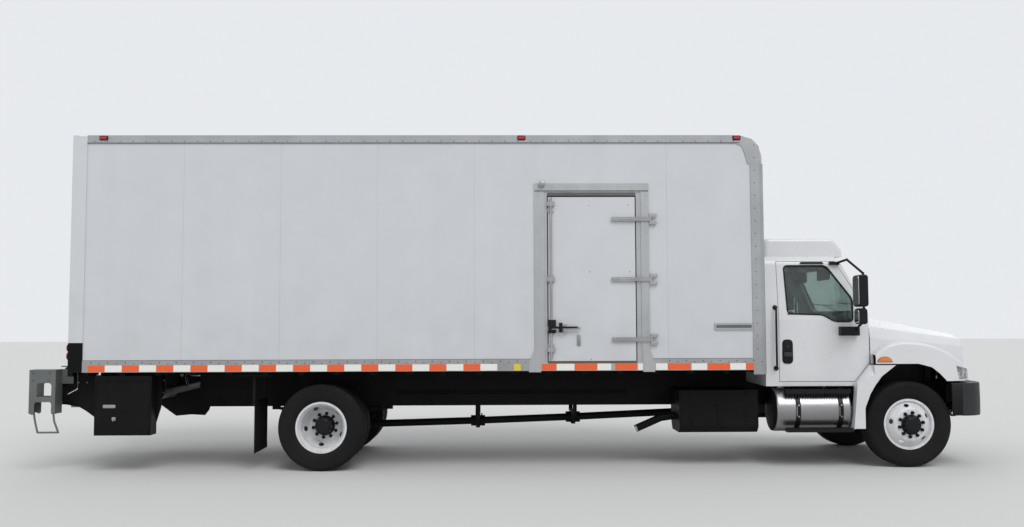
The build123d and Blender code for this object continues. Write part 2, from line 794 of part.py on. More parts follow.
glass_gap = 0.3
glass_set = 14
glass_thick = 6
glass_skin = cab_form(glass_set) - cab_form(glass_set + glass_thick)
with BuildPart() as windshield:
    add(glass_skin)
    add(prism_yz(windshield_outline, cab_middle_x, cab_front_far, 60, -glass_gap), mode=Mode.INTERSECT)
save(windshield.part, "windshield")

# Doors with their glass and mirrors; the left side mirrors the right
mirror_arm_radius = 14
with BuildPart() as cab_door_right:
    add(cab_shell)
    add(prism_xz(door_outline, -far_y, 0), mode=Mode.INTERSECT)
    add(cab_tunnel(cab_wall), mode=Mode.SUBTRACT)
    add(prism_xz(window_outline, -far_y, 0, 45), mode=Mode.SUBTRACT)

with BuildPart() as door_glass_right:
    add(glass_skin)
    add(prism_xz(window_outline, -far_y, 0, 45, -glass_gap), mode=Mode.INTERSECT)

mirror_x = front_axle_x - 640
mirror_top_z = 2255
mirror_low_z = 1885
with BuildPart() as mirror_right:
    for low_z, high_z, half_depth, y_outer, y_inner in (
        (mirror_low_z, mirror_top_z, 55, -1500, -1285),
        (1682, 1868, 50, -1470, -1300),
    ):
        slab((mirror_x - half_depth, y_outer, low_z), (mirror_x + half_depth, y_inner, high_z))
    fillet(mirror_right.edges().filter_by(Axis.Y), radius=34)
    front_faces = mirror_right.faces().filter_by(Axis.X).sort_by(Axis.X)[-2:]
    fillet(front_faces.edges(), radius=20)
    tube_points = [
        (front_axle_x - 770, -988, 2420),
        (front_axle_x - 715, -1180, 2448),
        (front_axle_x - 568, -1290, 2280),
        (front_axle_x - 568, -1290, 1720),
        (front_axle_x - 610, -1068, 1600),
    ]
    for tube_start, tube_end in zip(tube_points[:-1], tube_points[1:]):
        round_bar(tube_start, tube_end, mirror_arm_radius)
        with Locations(tube_end):
            Sphere(mirror_arm_radius + 1.5)
    for bracket_z in (mirror_low_z + 60, mirror_top_z - 60, 1775):
        round_bar((front_axle_x - 568, -1290, bracket_z), (mirror_x, -1360, bracket_z), 11)
    slab((front_axle_x - 785, -1125, 1548), (front_axle_x - 560, -cab_belt_half + 20, 1655))
    slab((front_axle_x - 860, -1020, 2396), (front_axle_x - 745, -cab_eave_half + 30, 2434))
    add(cab_form(-0.3), mode=Mode.SUBTRACT)

for name, right_part in (
    ("cab_door", cab_door_right),
    ("door_glass", door_glass_right),
    ("mirror", mirror_right),
):
    save(right_part.part, name + "_right")
    with BuildPart() as left_part:
        mirror(right_part.part, about=Plane.XZ)
    save(left_part.part, name + "_left")

# Seats, dashboard and steering column
seat_y = 520
column_tilt = 35
wheel_centre = (front_axle_x - 880, seat_y, 1640)
column_dir = (-math.sin(math.radians(column_tilt)), 0, math.cos(math.radians(column_tilt)))
wheel_ring_radius = 225
with BuildPart() as cab_interior:
    for side in (1, -1):
        seat_x = cab_back_x + cab_wall
        slab((seat_x + 190, side * seat_y - 250, 1180), (seat_x + 690, side * seat_y + 250, 1330))
        slab((seat_x + 60, side * seat_y - 250, 1180), (seat_x + 190, side * seat_y + 250, 1950))
        slab((seat_x + 240, side * seat_y - 180, floor_top), (seat_x + 640, side * seat_y + 180, 1180))
    dash = [
        (front_axle_x - 640, 1480),
        (front_axle_x - 600, 1730),
        (front_axle_x - 470, 1760),
        (front_axle_x - 470, 1350),
        (front_axle_x - 560, 1350),
    ]
    plate_xz(dash, -880, 880)
    column_low = Vector(*wheel_centre) - Vector(*column_dir) * 690
    column_high = Vector(*wheel_centre) - Vector(*column_dir) * 70.5
    round_bar(tuple(column_low), tuple(column_high), 34)
    bulkhead_x = front_axle_x - 500
    slab((bulkhead_x, -560, floor_top + 0.5), (bulkhead_x + 30, 560, 1400))
save(cab_interior.part, "cab_interior")

# Steering wheel, its shaft rising towards the driver
with BuildPart() as steering_wheel:
    wheel_face = Plane(origin=wheel_centre, x_dir=(0, 1, 0), z_dir=column_dir)
    with BuildSketch(Plane(origin=wheel_centre, x_dir=(0, 1, 0), z_dir=wheel_face.y_dir)) as grip:
        with Locations((wheel_ring_radius, 0)):
            Circle(15)
    revolve(grip.sketch, axis=Axis(wheel_centre, column_dir))
    hub_low = Vector(*wheel_centre) - Vector(*column_dir) * 70
    hub_high = Vector(*wheel_centre) + Vector(*column_dir) * 10
    round_bar(tuple(hub_low), tuple(hub_high), 50)
    for angle in (90, 210, 330):
        turn = math.radians(angle)
        spoke_dir = wheel_face.x_dir * math.cos(turn) + wheel_face.y_dir * math.sin(turn)
        spoke_end = Vector(*wheel_centre) + spoke_dir * wheel_ring_radius
        round_bar(wheel_centre, tuple(spoke_end), 12)
save(steering_wheel.part, "steering_wheel")

# Roof fairing
fairing_half = 850
fairing_round = 70
with BuildPart() as roof_fairing:
    fairing = [
        (cab_back_x + 52, cab_roof_z),
        (cab_back_x + 52, 2740),
        (front_axle_x - 760, 2740),
        (front_axle_x - 650, 2600),
        (front_axle_x - 640, cab_roof_z),
    ]
    with BuildSketch(side_plane(fairing_half)) as outline:
        with BuildLine():
            Polyline(*fairing, close=True)
        make_face()
        top_corners = outline.vertices().sort_by(Axis.Y)[-2:]
        fillet(top_corners, radius=fairing_round)
    extrude(outline.sketch, amount=2 * fairing_half)
    side_edges = roof_fairing.faces().filter_by(Axis.Y).edges()
    side_edges = side_edges.filter_by(lambda e: e.center().Z > cab_roof_z + 1)
    fillet(side_edges, radius=fairing_round - 15)
save(roof_fairing.part, "roof_fairing")

# Fixed fender extensions behind the front wheels
extension = [
    (front_axle_x - 670, 458),
    (front_axle_x - 537, 458),
    (front_axle_x - 535, 700),
    (front_axle_x - 470, 865),
    (front_axle_x - 405, 972),
    (front_axle_x - 330, 1070),
    (front_axle_x - 161, 1200),
    (front_axle_x - 434, 1200),
    (front_axle_x - 594, 1001),
    (front_axle_x - 618, 992),
]
door_hinge_x = front_axle_x - 412
door_hinge_y = 1054
sweep_low_z = 999
sweep_radius = 185
sweep_apex_z = 1230
with BuildPart() as door_sweep:
    slab((front_axle_x - 700, -far_y, sweep_low_z), (door_hinge_x, -door_hinge_y, sweep_apex_z - 10))
    with Locations((door_hinge_x, -door_hinge_y, sweep_low_z)):
        cone_top = sweep_radius * 10 / (sweep_apex_z - sweep_low_z)
        cone_height = sweep_apex_z - 10 - sweep_low_z
        cone_align = (Align.CENTER, Align.CENTER, Align.MIN)
        Cone(sweep_radius, cone_top, cone_height, align=cone_align, mode=Mode.SUBTRACT)
with BuildPart() as fender_extensions:
    plate_xz(extension, -1172, -1060)
    add(door_sweep.part, mode=Mode.SUBTRACT)
    bracket_low = (front_axle_x - 600, -1100, 930)
    slab(bracket_low, (front_axle_x - 560, -cab_sill_half + 60, cab_floor_z - 0.5))
    mirror(about=Plane.XZ)
save(fender_extensions.part, "fender_extensions")

# Hood: a ruled body from cowl to nose with a fender on each side, open below and behind
hood_wall = 12
hood_rear_x = front_axle_x - 470
hood_nose_x = front_axle_x + 915
cowl_gap = 14
# Corners of the half sections: y, z and the radius of the corner
hood_rear_half = [(620, 1796, 160), (930, 1660, 150), (1010, 1530, 30), (1030, 1212, 0)]
hood_nose_half = [(380, 1546, 120), (560, 1490, 90), (610, 1410, 40), (640, 1190, 0)]
hood_nose_round = 45
fender_half = 1182
fender_round = 36
fender_rear_x = front_axle_x - 400


def hood_section(x, corners, inset):
    """Cross-section of the hood at x, moved inwards by inset, its corners rounded."""
    low_z = corners[-1][1]
    right = [(y - inset, max(z - inset, low_z)) for y, z, radius in corners[:-1]]
    right.append((corners[-1][0] - inset, low_z))
    left = [(-y, z) for y, z in reversed(right)]
    with BuildSketch(front_plane(x)) as face:
        with BuildLine():
            Polyline(*right, *left, close=True)
        make_face()
        for (y, z), (corner_y, corner_z, radius) in zip(right[:-1], corners):
            for side in (1, -1):
                corner = face.vertices().sort_by_distance((side * y, z, 0))[0]
                fillet(corner, radius=max(radius - inset, 5))
    return face.sketch


def hood_form(inset):
    """Solid of the hood's outer surface moved inwards by inset."""
    with BuildPart() as body:
        rear = hood_section(hood_rear_x, hood_rear_half, inset)
        nose = hood_section(hood_nose_x - inset, hood_nose_half, inset)
        loft([rear, nose], ruled=True)
        if inset < hood_nose_round:
            nose_edges = body.faces().sort_by(Axis.X)[-1].edges()
            nose_edges = nose_edges.filter_by(lambda e: e.center().Z > hood_nose_half[-1][1] + 1)
            fillet(nose_edges, radius=hood_nose_round - inset)
    with BuildPart() as fender:
        with BuildSketch(side_plane(fender_half - inset)) as profile:
            with BuildLine():
                rise = ThreePointArc(
                    (fender_rear_x, 1330 - inset),
                    (front_axle_x - 230, 1440 - inset),
                    (front_axle_x + 20, 1472 - inset),
                )
                fall = ThreePointArc(
                    rise @ 1,
                    (front_axle_x + 330, 1410 - inset),
                    (front_axle_x + 600, 1262 - inset),
                )
                Polyline(
                    fall @ 1,
                    (front_axle_x + 770 - inset, 1150 - inset),
                    (front_axle_x + 812 - inset, 1012),
                    (fender_rear_x, 1012),
                    rise @ 0,
                )
            make_face()
        extrude(profile.sketch, amount=2 * (fender_half - inset))
        with BuildSketch(top_plane(900)) as plan:
            with BuildLine():
                side_line = Polyline(
                    (hood_rear_x - 200, 0),
                    (hood_rear_x - 200, 1300),
                    (front_axle_x + 330, 1300),
                    (front_axle_x + 480, 1182 - inset),
                )
                corner_arc = ThreePointArc(
                    side_line @ 1,
                    (front_axle_x + 690, 1085 - inset),
                    (front_axle_x + 812 - inset, 925 - inset),
                )
                front_arc = ThreePointArc(
                    corner_arc @ 1,
                    (front_axle_x + 884 - inset, 710),
                    (hood_nose_x - inset, 470),
                )
                Polyline(front_arc @ 1, (hood_nose_x - inset, 0), (hood_rear_x - 200, 0))
            make_face()
            mirror(about=Plane.XZ)
        extrude(plan.sketch, amount=1000, mode=Mode.INTERSECT)
        if inset < fender_round:
            rim_edges = fender.edges().filter_by(
                lambda e: abs(e.center().Y) > 900 and e.center().Z > 1060 and e.geom_type != GeomType.LINE
            )
            fillet(rim_edges, radius=fender_round - inset)
        add(body.part)
    return fender.part


lamp_outline = [
    (front_axle_x + 560, 1190),
    (front_axle_x + 700, 1160),
    (front_axle_x + 900, 1112),
    (front_axle_x + 900, 1030),
    (front_axle_x + 600, 1030),
]
with BuildPart() as hood:
    add(hood_form(0))
    add(hood_form(hood_wall), mode=Mode.SUBTRACT)
    slab((hood_rear_x - 100, -1020, 800), (front_axle_x + 432, 1020, 1212), Mode.SUBTRACT)
    with BuildSketch(top_plane(700)) as cowl_cut:
        with Locations((cab_axis_x, 0)):
            Circle(cowl_radius + cowl_gap)
    extrude(cowl_cut.sketch, amount=1300, mode=Mode.SUBTRACT)
    slab((hood_rear_x - 200, -1400, 700), (fender_rear_x + 2, -1026, 1900), Mode.SUBTRACT)
    slab((hood_rear_x - 200, 1026, 700), (fender_rear_x + 2, 1400, 1900), Mode.SUBTRACT)
    arch_points = [
        (fender_rear_x - 60, 900),
        (fender_rear_x - 60, 1216),
        (front_axle_x + 108, 1216),
        (front_axle_x + 265, 1174),
        (front_axle_x + 357, 1100),
        (front_axle_x + 432, 1020),
        (front_axle_x + 432, 900),
    ]
    add(prism_xz(arch_points, -1400, 1400), mode=Mode.SUBTRACT)
    grille_cut = [(-400, 1235), (400, 1235), (430, 1480), (-430, 1480)]
    add(prism_yz(grille_cut, hood_nose_x - 80, hood_nose_x + 80, 30), mode=Mode.SUBTRACT)
    for y_low, y_high in ((-1300, -759.6), (759.6, 1300)):
        add(prism_xz(lamp_outline, y_low, y_high), mode=Mode.SUBTRACT)
    for side in (1, -1):
        y_low = side * hood_hinge_y - 12
        hinge_arm = [
            (hood_hinge_x - 26, hood_hinge_z),
            (hood_hinge_x + 26, hood_hinge_z),
            (hood_hinge_x + 30, 1120),
            (hood_nose_x - 4, 1215),
            (hood_nose_x - 4, 1230),
            (hood_nose_x - 60, 1230),
            (hood_hinge_x - 26, 1120),
        ]
        plate_xz(hinge_arm, y_low, y_low + 24)
        round_bar((hood_hinge_x, y_low, hood_hinge_z), (hood_hinge_x, y_low + 24, hood_hinge_z), 26)
        hinge_start = (hood_hinge_x, y_low - 1, hood_hinge_z)
        round_bar(hinge_start, (hood_hinge_x, y_low + 25, hood_hinge_z), 14.4, Mode.SUBTRACT)
save(hood.part, "hood")

bar_count = 6
with BuildPart() as grille:
    grille_x = hood_nose_x - 40
    add(prism_yz(grille_cut, grille_x, grille_x + 36, 30, -0.3))
    add(prism_yz(grille_cut, grille_x - 10, grille_x + 60, 24, -24), mode=Mode.SUBTRACT)
    pitch = (1462 - 1255) / bar_count
    for i in range(bar_count):
        z = 1255 + (i + 0.5) * pitch
        slab((grille_x + 6, -412, z - 7), (grille_x + 32, 412, z + 7))
    for y in (-200, 0, 200):
        slab((grille_x + 2, y - 6, 1240), (grille_x + 12, y + 6, 1475))
    trim = prism_yz(grille_cut, grille_x, grille_x + 36, 30, -0.3)
    add(trim, mode=Mode.INTERSECT)
save(grille.part, "grille")

# Headlamps in the fender fronts
with BuildPart() as headlamps:
    add(hood_form(0.3))
    add(hood_form(50), mode=Mode.SUBTRACT)
    add(prism_xz(lamp_outline, -1190, 1190, margin=-0.4), mode=Mode.INTERSECT)
    slab((hood_rear_x, -760, 800), (hood_nose_x + 200, 760, 1500), Mode.SUBTRACT)
save(headlamps.part, "headlamps")

# Box floor: one deck on cross sills, which rest on two long sills over the rails
cross_sill_pitch = 405
cross_sill_width = 60
sill_gap = 0.3
long_sill_half_width = 40
long_sill_y = rail_outer - rail_flange / 2
recess_half = 975
recess_reach = 1150
box_length = box_front_x - box_rear_x
floor_front_x = box_front_x - rail_proud - wall_thick
floor_rear_x = box_rear_x + 170
with BuildPart() as box_floor:
    slab((floor_rear_x, -wall_inner, floor_bottom_z), (floor_front_x, wall_inner, floor_top_z))
    for side in (1, -1):
        corner = sorted((side * front_wall_half, side * box_half))
        slab((box_front_x - corner_block, corner[0], 1100), (box_front_x, corner[1], 1300), Mode.SUBTRACT)
save(box_floor.part, "box_floor")

# The sills stop short over the folded liftgate, so that it can rise to floor height
with BuildPart() as floor_sills:
    sill_count = int((floor_front_x - floor_rear_x) / cross_sill_pitch)
    sill_half = wall_inner - 8
    sill_high_z = floor_bottom_z - sill_gap
    for i in range(sill_count + 1):
        x = floor_rear_x + i * (floor_front_x - floor_rear_x - cross_sill_width) / sill_count
        spans = [(-sill_half, sill_half)]
        if x < tail_x + recess_reach:
            spans = [(-sill_half, -recess_half), (recess_half, sill_half)]
        if x > box_front_x - corner_block - cross_sill_width:
            spans = [(-front_wall_half + 8, front_wall_half - 8)]
        for y_low, y_high in spans:
            slab((x, y_low, cross_sill_bottom_z), (x + cross_sill_width, y_high, sill_high_z))
    for side in (1, -1):
        sill_low = (rail_rear_x, side * long_sill_y - long_sill_half_width, rail_top_z)
        long_high_z = cross_sill_bottom_z - sill_gap
        slab(sill_low, (floor_front_x, side * long_sill_y + long_sill_half_width, long_high_z))
save(floor_sills.part, "floor_sills")

# Side walls; the right one has the side door's opening
frame_rear_x = rear_axle_x + door_frame_rear
frame_front_x = rear_axle_x + door_frame_front
aperture_rear_x = frame_rear_x + door_frame_width - 20
aperture_front_x = frame_front_x - door_frame_width + 20
aperture_top_z = door_slab_top_z + door_gap + 20
aperture_low_z = door_slab_bottom_z - door_gap
wall_low_z = floor_bottom_z - 40
wall_rear_x = box_rear_x + 60
wall_front_x = box_front_x - 64
wall_high_z = box_top_z - rail_proud
with BuildPart() as box_wall_left:
    corner_cut = front_radius - 20
    wall_shape = [
        (wall_rear_x, wall_low_z),
        (wall_front_x, wall_low_z),
        (wall_front_x, box_top_z - front_radius),
        (box_front_x - front_radius, wall_high_z - 64),
        (box_front_x - front_radius, wall_high_z),
        (wall_rear_x, wall_high_z),
    ]
    plate_xz(wall_shape, wall_inner, wall_outer)
save(box_wall_left.part, "box_wall_left")
with BuildPart() as box_wall_right:
    plate_xz(wall_shape, -wall_outer, -wall_inner)
    slab(
        (aperture_rear_x, -wall_outer - 10, wall_low_z - 10),
        (aperture_front_x, -wall_inner + 10, aperture_top_z),
        Mode.SUBTRACT,
    )
save(box_wall_right.part, "box_wall_right")

# Front wall, bent back at the top into the roof, and the roof behind it
inner_half = wall_inner - 2
bend_x = box_front_x - front_radius
bend_z = box_top_z - front_radius
skin_radius = front_radius - rail_proud
with BuildPart() as box_front_wall:
    with BuildSketch(side_plane(front_wall_half)) as bent:
        with BuildLine():
            outer_up = Line((box_front_x - rail_proud, wall_low_z), (box_front_x - rail_proud, bend_z))
            bend_mid = math.sqrt(0.5)
            outer_bend = ThreePointArc(
                outer_up @ 1,
                (bend_x + skin_radius * bend_mid, bend_z + skin_radius * bend_mid),
                (bend_x, bend_z + skin_radius),
            )
            Line(outer_bend @ 1, (bend_x, bend_z + skin_radius - wall_thick))
            inner_bend = ThreePointArc(
                (bend_x, bend_z + skin_radius - wall_thick),
                (
                    bend_x + (skin_radius - wall_thick) * bend_mid,
                    bend_z + (skin_radius - wall_thick) * bend_mid,
                ),
                (bend_x + skin_radius - wall_thick, bend_z),
            )
            Line(inner_bend @ 1, (bend_x + skin_radius - wall_thick, wall_low_z))
            Line((bend_x + skin_radius - wall_thick, wall_low_z), outer_up @ 0)
        make_face()
    extrude(bent.sketch, amount=2 * front_wall_half)
save(box_front_wall.part, "box_front_wall")

with BuildPart() as box_roof:
    roof_high_z = bend_z + skin_radius
    slab((box_rear_x + 100.5, -inner_half, roof_high_z - roof_thick), (bend_x - joint_gap, inner_half, roof_high_z))
save(box_roof.part, "box_roof")

# Aluminium rails, corner posts and corner castings
post_width = 165
post_wrap = 150
post_round = 60
lamp_size = 60
bottom_rail_top_z = box_bottom_z + bottom_rail_height
rail_start_x = box_rear_x + 165 + joint_gap
with BuildPart() as box_rails:
    for side in (1, -1):
        y_pair = sorted((side * wall_outer, side * box_half))
        cap_pair = sorted((side * (wall_outer - 60), side * box_half))
        slab((rail_start_x, y_pair[0], box_top_z - top_rail_height), (bend_x - 70, y_pair[1], box_top_z - rail_proud))
        slab((rail_start_x, cap_pair[0], box_top_z - rail_proud), (bend_x - 70, cap_pair[1], box_top_z))
        spans = [(rail_start_x, box_front_x - post_width - joint_gap)]
        if side < 0:
            spans = [
                (rail_start_x, frame_rear_x - joint_gap),
                (frame_front_x + joint_gap, box_front_x - post_width - joint_gap),
            ]
        for x_low, x_high in spans:
            slab((x_low, y_pair[0], box_bottom_z), (x_high, y_pair[1], bottom_rail_top_z))
            flange = sorted((side * (wall_inner - 0), side * box_half))
            slab((x_low, flange[0], box_bottom_z), (x_high, flange[1], box_bottom_z + rail_proud))
    right_post = [
        (box_front_x - post_width, -wall_outer),
        (box_front_x - post_width, -box_half),
        (box_front_x - post_round, -box_half),
        (box_front_x - post_round * 0.3, -box_half + post_round * 0.3),
        (box_front_x, -box_half + post_round),
        (box_front_x, -box_half + post_wrap),
        (box_front_x - rail_proud, -box_half + post_wrap),
        (box_front_x - rail_proud, -front_wall_half - joint_gap),
        (box_front_x - corner_block + joint_gap, -front_wall_half - joint_gap),
        (box_front_x - corner_block + joint_gap, -wall_outer),
    ]
    for side in (1, -1):
        post = [(x, -side * y) for x, y in right_post]
        plate_xy(post, box_bottom_z - 50, bend_z - 60 - joint_gap)
        casting_side = [
            (bend_x - 70 + joint_gap, box_top_z - top_rail_height),
            (bend_x - 70 + joint_gap, box_top_z - rail_proud),
            (bend_x + 20, box_top_z - rail_proud),
            (bend_x + 140, box_top_z - 46),
            (bend_x + 220, box_top_z - 130),
            (box_front_x - 40, bend_z + 40),
            (box_front_x - 40, bend_z - 60),
            (box_front_x - post_width - 30, bend_z - 60),
            (box_front_x - post_width - 60, bend_z + 60),
            (bend_x + 20, bend_z + 150),
        ]
        y_pair = sorted((side * wall_outer, side * box_half))
        plate_xz(casting_side, y_pair[0], y_pair[1])
save(box_rails.part, "box_rails")

# Rear frame: two posts and a header; the door rolls down behind it
rear_post_width = 100
rear_post_depth = 165
rear_post_low_z = 1496
header_height = 215
with BuildPart() as rear_frame:
    for side in (1, -1):
        y_pair = sorted((side * (box_half - rear_post_width), side * box_half))
        slab((box_rear_x, y_pair[0], rear_post_low_z), (box_rear_x + 59.5, y_pair[1], box_top_z))
        cover = sorted((side * wall_outer, side * box_half))
        slab((box_rear_x + 59, cover[0], rear_post_low_z), (box_rear_x + rear_post_depth, cover[1], box_top_z - 9.5))
        track = sorted((side * 1226, side * (wall_inner - joint_gap)))
        slab((box_rear_x + 60, track[0], floor_top_z), (box_rear_x + 130, track[1], box_top_z - header_height))
    header_half = box_half - rear_post_width - joint_gap
    slab((box_rear_x, -header_half, box_top_z - header_height), (box_rear_x + 100, header_half, box_top_z))
save(rear_frame.part, "rear_frame")

panel_count = 7
door_half = box_half - rear_post_width + 30.5
with BuildPart() as roll_up_door:
    panel_low_z = floor_top_z + 1
    panel_high_z = box_top_z - header_height - 4
    panel_height = (panel_high_z - panel_low_z) / panel_count
    slab((box_rear_x + 104, -door_half, panel_low_z), (box_rear_x + 122, door_half, box_top_z - header_height + 60))
    for i in range(panel_count):
        low = panel_low_z + i * panel_height + 4
        slab((box_rear_x + 96, -door_half + 40, low), (box_rear_x + 105, door_half - 40, low + panel_height - 8))
save(roll_up_door.part, "roll_up_door")

# Side door frame with its hinge leaves, and the door
frame_face = box_half + 4
side_slab_rear_x = frame_rear_x + door_frame_width + door_gap
side_slab_front_x = frame_front_x - door_frame_width - door_gap
slab_face = box_half
hinge_heights = [1516, 2216, 2921]
side_hinge_x = frame_front_x + 18
side_hinge_y = -frame_face - 14
strap_tip_x = rear_axle_x + 3403
strip_depth = 10
knuckle_gap = 0.3
gusset_low_z = 1245
gusset_high_z = 1430
with BuildPart() as side_door_frame:
    jamb = door_frame_width
    low_z = box_bottom_z
    slab((frame_rear_x, -frame_face, low_z), (frame_rear_x + jamb, -wall_outer, door_frame_top_z))
    slab((frame_front_x - jamb, -frame_face, low_z), (frame_front_x, -wall_outer, door_frame_top_z))
    head_low_z = door_slab_top_z + door_gap
    slab((frame_rear_x, -frame_face, head_low_z), (frame_front_x, -wall_outer, door_frame_top_z))
    slab((frame_rear_x, -frame_face, low_z), (frame_front_x, -wall_outer, door_slab_bottom_z - door_gap))
    slab((aperture_rear_x + 0.3, -wall_outer - 1, head_low_z), (aperture_front_x - 0.3, -wall_inner, aperture_top_z - 0.3))
    for x_low in (aperture_rear_x + 0.3, aperture_front_x - 19.7):
        slab((x_low, -wall_outer - 1, low_z), (x_low + 19.4, -wall_inner, aperture_top_z - 0.3))
    sill_low = (aperture_rear_x + 0.3, -wall_outer - 1, low_z)
    slab(sill_low, (aperture_front_x - 0.3, -wall_inner, door_slab_bottom_z - door_gap))
    for x_low, x_high in (
        (frame_rear_x + jamb - 35, frame_rear_x + jamb + 1),
        (frame_front_x - jamb - 1, frame_front_x - jamb + 55),
    ):
        strip_low = (x_low, -frame_face - 1, door_slab_bottom_z - door_gap)
        slab(strip_low, (x_high, -frame_face + strip_depth, head_low_z + 42), Mode.SUBTRACT)
    strip_low = (frame_rear_x + jamb - 35, -frame_face - 1, head_low_z - 1)
    slab(strip_low, (frame_front_x - jamb + 55, -frame_face + strip_depth, head_low_z + 42), Mode.SUBTRACT)
    for foot_low, foot_high, top_low, top_high in (
        (frame_rear_x - 68, frame_rear_x + 75, frame_rear_x + 14, frame_rear_x + 83),
        (frame_front_x - 84, frame_front_x + 51, frame_front_x - 84, frame_front_x - 20),
    ):
        gusset = [
            (foot_low, box_bottom_z + 60),
            (foot_low, gusset_low_z),
            (top_low, gusset_high_z),
            (top_high, gusset_high_z),
            (foot_high, gusset_low_z),
            (foot_high, box_bottom_z + 60),
        ]
        plate_xz(gusset, -frame_face - 4, -frame_face + 3.9)
    lock_cap = (frame_rear_x + 90, -frame_face + 1, door_frame_top_z - 10)
    round_bar(lock_cap, (lock_cap[0], -frame_face - 34, lock_cap[2]), 38)
    for z in hinge_heights:
        for z_low in (z - 62, z + 24 + knuckle_gap):
            z_high = z_low + 38 - knuckle_gap
            leaf_x = side_hinge_x - 4
            slab((leaf_x, side_hinge_y - 6, z_low), (frame_front_x + 90, side_hinge_y + 6, z_high))
            slab((frame_front_x + 36, side_hinge_y - 6, z_low), (frame_front_x + 90, -box_half - 0.01, z_high))
            slab((frame_front_x - 30, -frame_face - 0.01, z_low), (frame_front_x + 90, -box_half - 0.01, z_high))
            round_bar((side_hinge_x, side_hinge_y, z_low), (side_hinge_x, side_hinge_y, z_high), 13)
    for x_low, x_high in ((frame_rear_x - 68, frame_rear_x + 75), (frame_front_x - 84, frame_front_x + 51)):
        slab((x_low, -frame_face, box_bottom_z - 15), (x_high, -wall_inner + 7, box_bottom_z))
        slab((x_low, -frame_face - 4, box_bottom_z - 15), (x_high, -box_half - 0.01, box_bottom_z + 62))
    holdback_x = rear_axle_x + 4586
    slab((holdback_x, -wall_outer - 16, 1623), (holdback_x + 443, -wall_outer, 1703))
save(side_door_frame.part, "side_door_frame")

with BuildPart() as side_door:
    slab(
        (side_slab_rear_x, -slab_face, door_slab_bottom_z),
        (side_slab_front_x, -slab_face + slab_thick, door_slab_top_z),
    )
save(side_door.part, "side_door")

with BuildPart() as side_door_hardware:
    for z in hinge_heights:
        slab((strap_tip_x, slab_face * -1 - 12, z - 24), (side_slab_front_x, -slab_face - 0.01, z + 24))
        slab((side_slab_front_x - 5, side_hinge_y - 6, z - 24), (side_hinge_x, side_hinge_y + 6, z + 24))
        slab((strap_tip_x, side_hinge_y - 6, z - 24), (side_slab_front_x, -slab_face - 6, z + 24))
        round_bar((side_hinge_x, side_hinge_y, z - 24), (side_hinge_x, side_hinge_y, z + 24), 13)
    rod_x = side_slab_rear_x + 40
    round_bar((rod_x, -slab_face - 20, door_slab_bottom_z + 20), (rod_x, -slab_face - 20, door_slab_top_z - 20), 13)
    for z in (1400, 1645, 2216, 3100):
        slab((rod_x - 45, -slab_face - 34, z - 25), (rod_x + 45, -slab_face - 0.01, z + 25))
    slab((rod_x, -slab_face - 48, 1632), (rod_x + 335, -slab_face - 32, 1660))
    slab((rod_x + 140, -slab_face - 50, 1600), (rod_x + 180, -slab_face - 0.01, 1692))
save(side_door_hardware.part, "side_door_hardware")

# Lamps on the box: markers on the top rails, header lamps and tail lamps
with BuildPart() as box_lamps:
    for side in (1, -1):
        for x in (rear_axle_x - 2545, rear_axle_x + 2340, bend_x - 40):
            y_pair = sorted((side * (box_half + 0.01), side * (box_half + 22)))
            slab((x - 38, y_pair[0], 3869), (x + 38, y_pair[1], 3901))
        for z in (1345, 1440):
            y_mid = side * (box_half - rear_post_width / 2)
            round_bar((box_rear_x - 22, y_mid, z), (box_rear_x - 0.01, y_mid, z), 42)
        front_lamp_y = side * (wall_outer - 230)
        slab((box_front_x - 9.9, front_lamp_y - 38, 3560), (box_front_x + 12, front_lamp_y + 38, 3592))
    for y in (-230, 0, 230, -1180, 1180):
        slab((box_rear_x - 20, y - 38, box_top_z - 70), (box_rear_x - 0.01, y + 38, box_top_z - 38))
save(box_lamps.part, "box_lamps")

# Mud flaps on hangers from the cross sills
flap_x = rear_axle_x - 772
with BuildPart() as mud_flaps:
    for side in (1, -1):
        y_pair = sorted((side * 600, side * 1200))
        slab((flap_x, y_pair[0], 210), (flap_x + 10, y_pair[1], 790))
        slab((flap_x - 30, y_pair[0], 770), (flap_x, y_pair[1], 800))
        for y in (side * 640, side * 1150):
            slab((flap_x - 30, y - 15, 790), (flap_x, y + 15, cross_sill_bottom_z - 0.5))
            arm_high_z = cross_sill_bottom_z - 0.5
            slab((flap_x - 260, y - 15, arm_high_z - 20), (flap_x + 200, y + 15, arm_high_z))
save(mud_flaps.part, "mud_flaps")

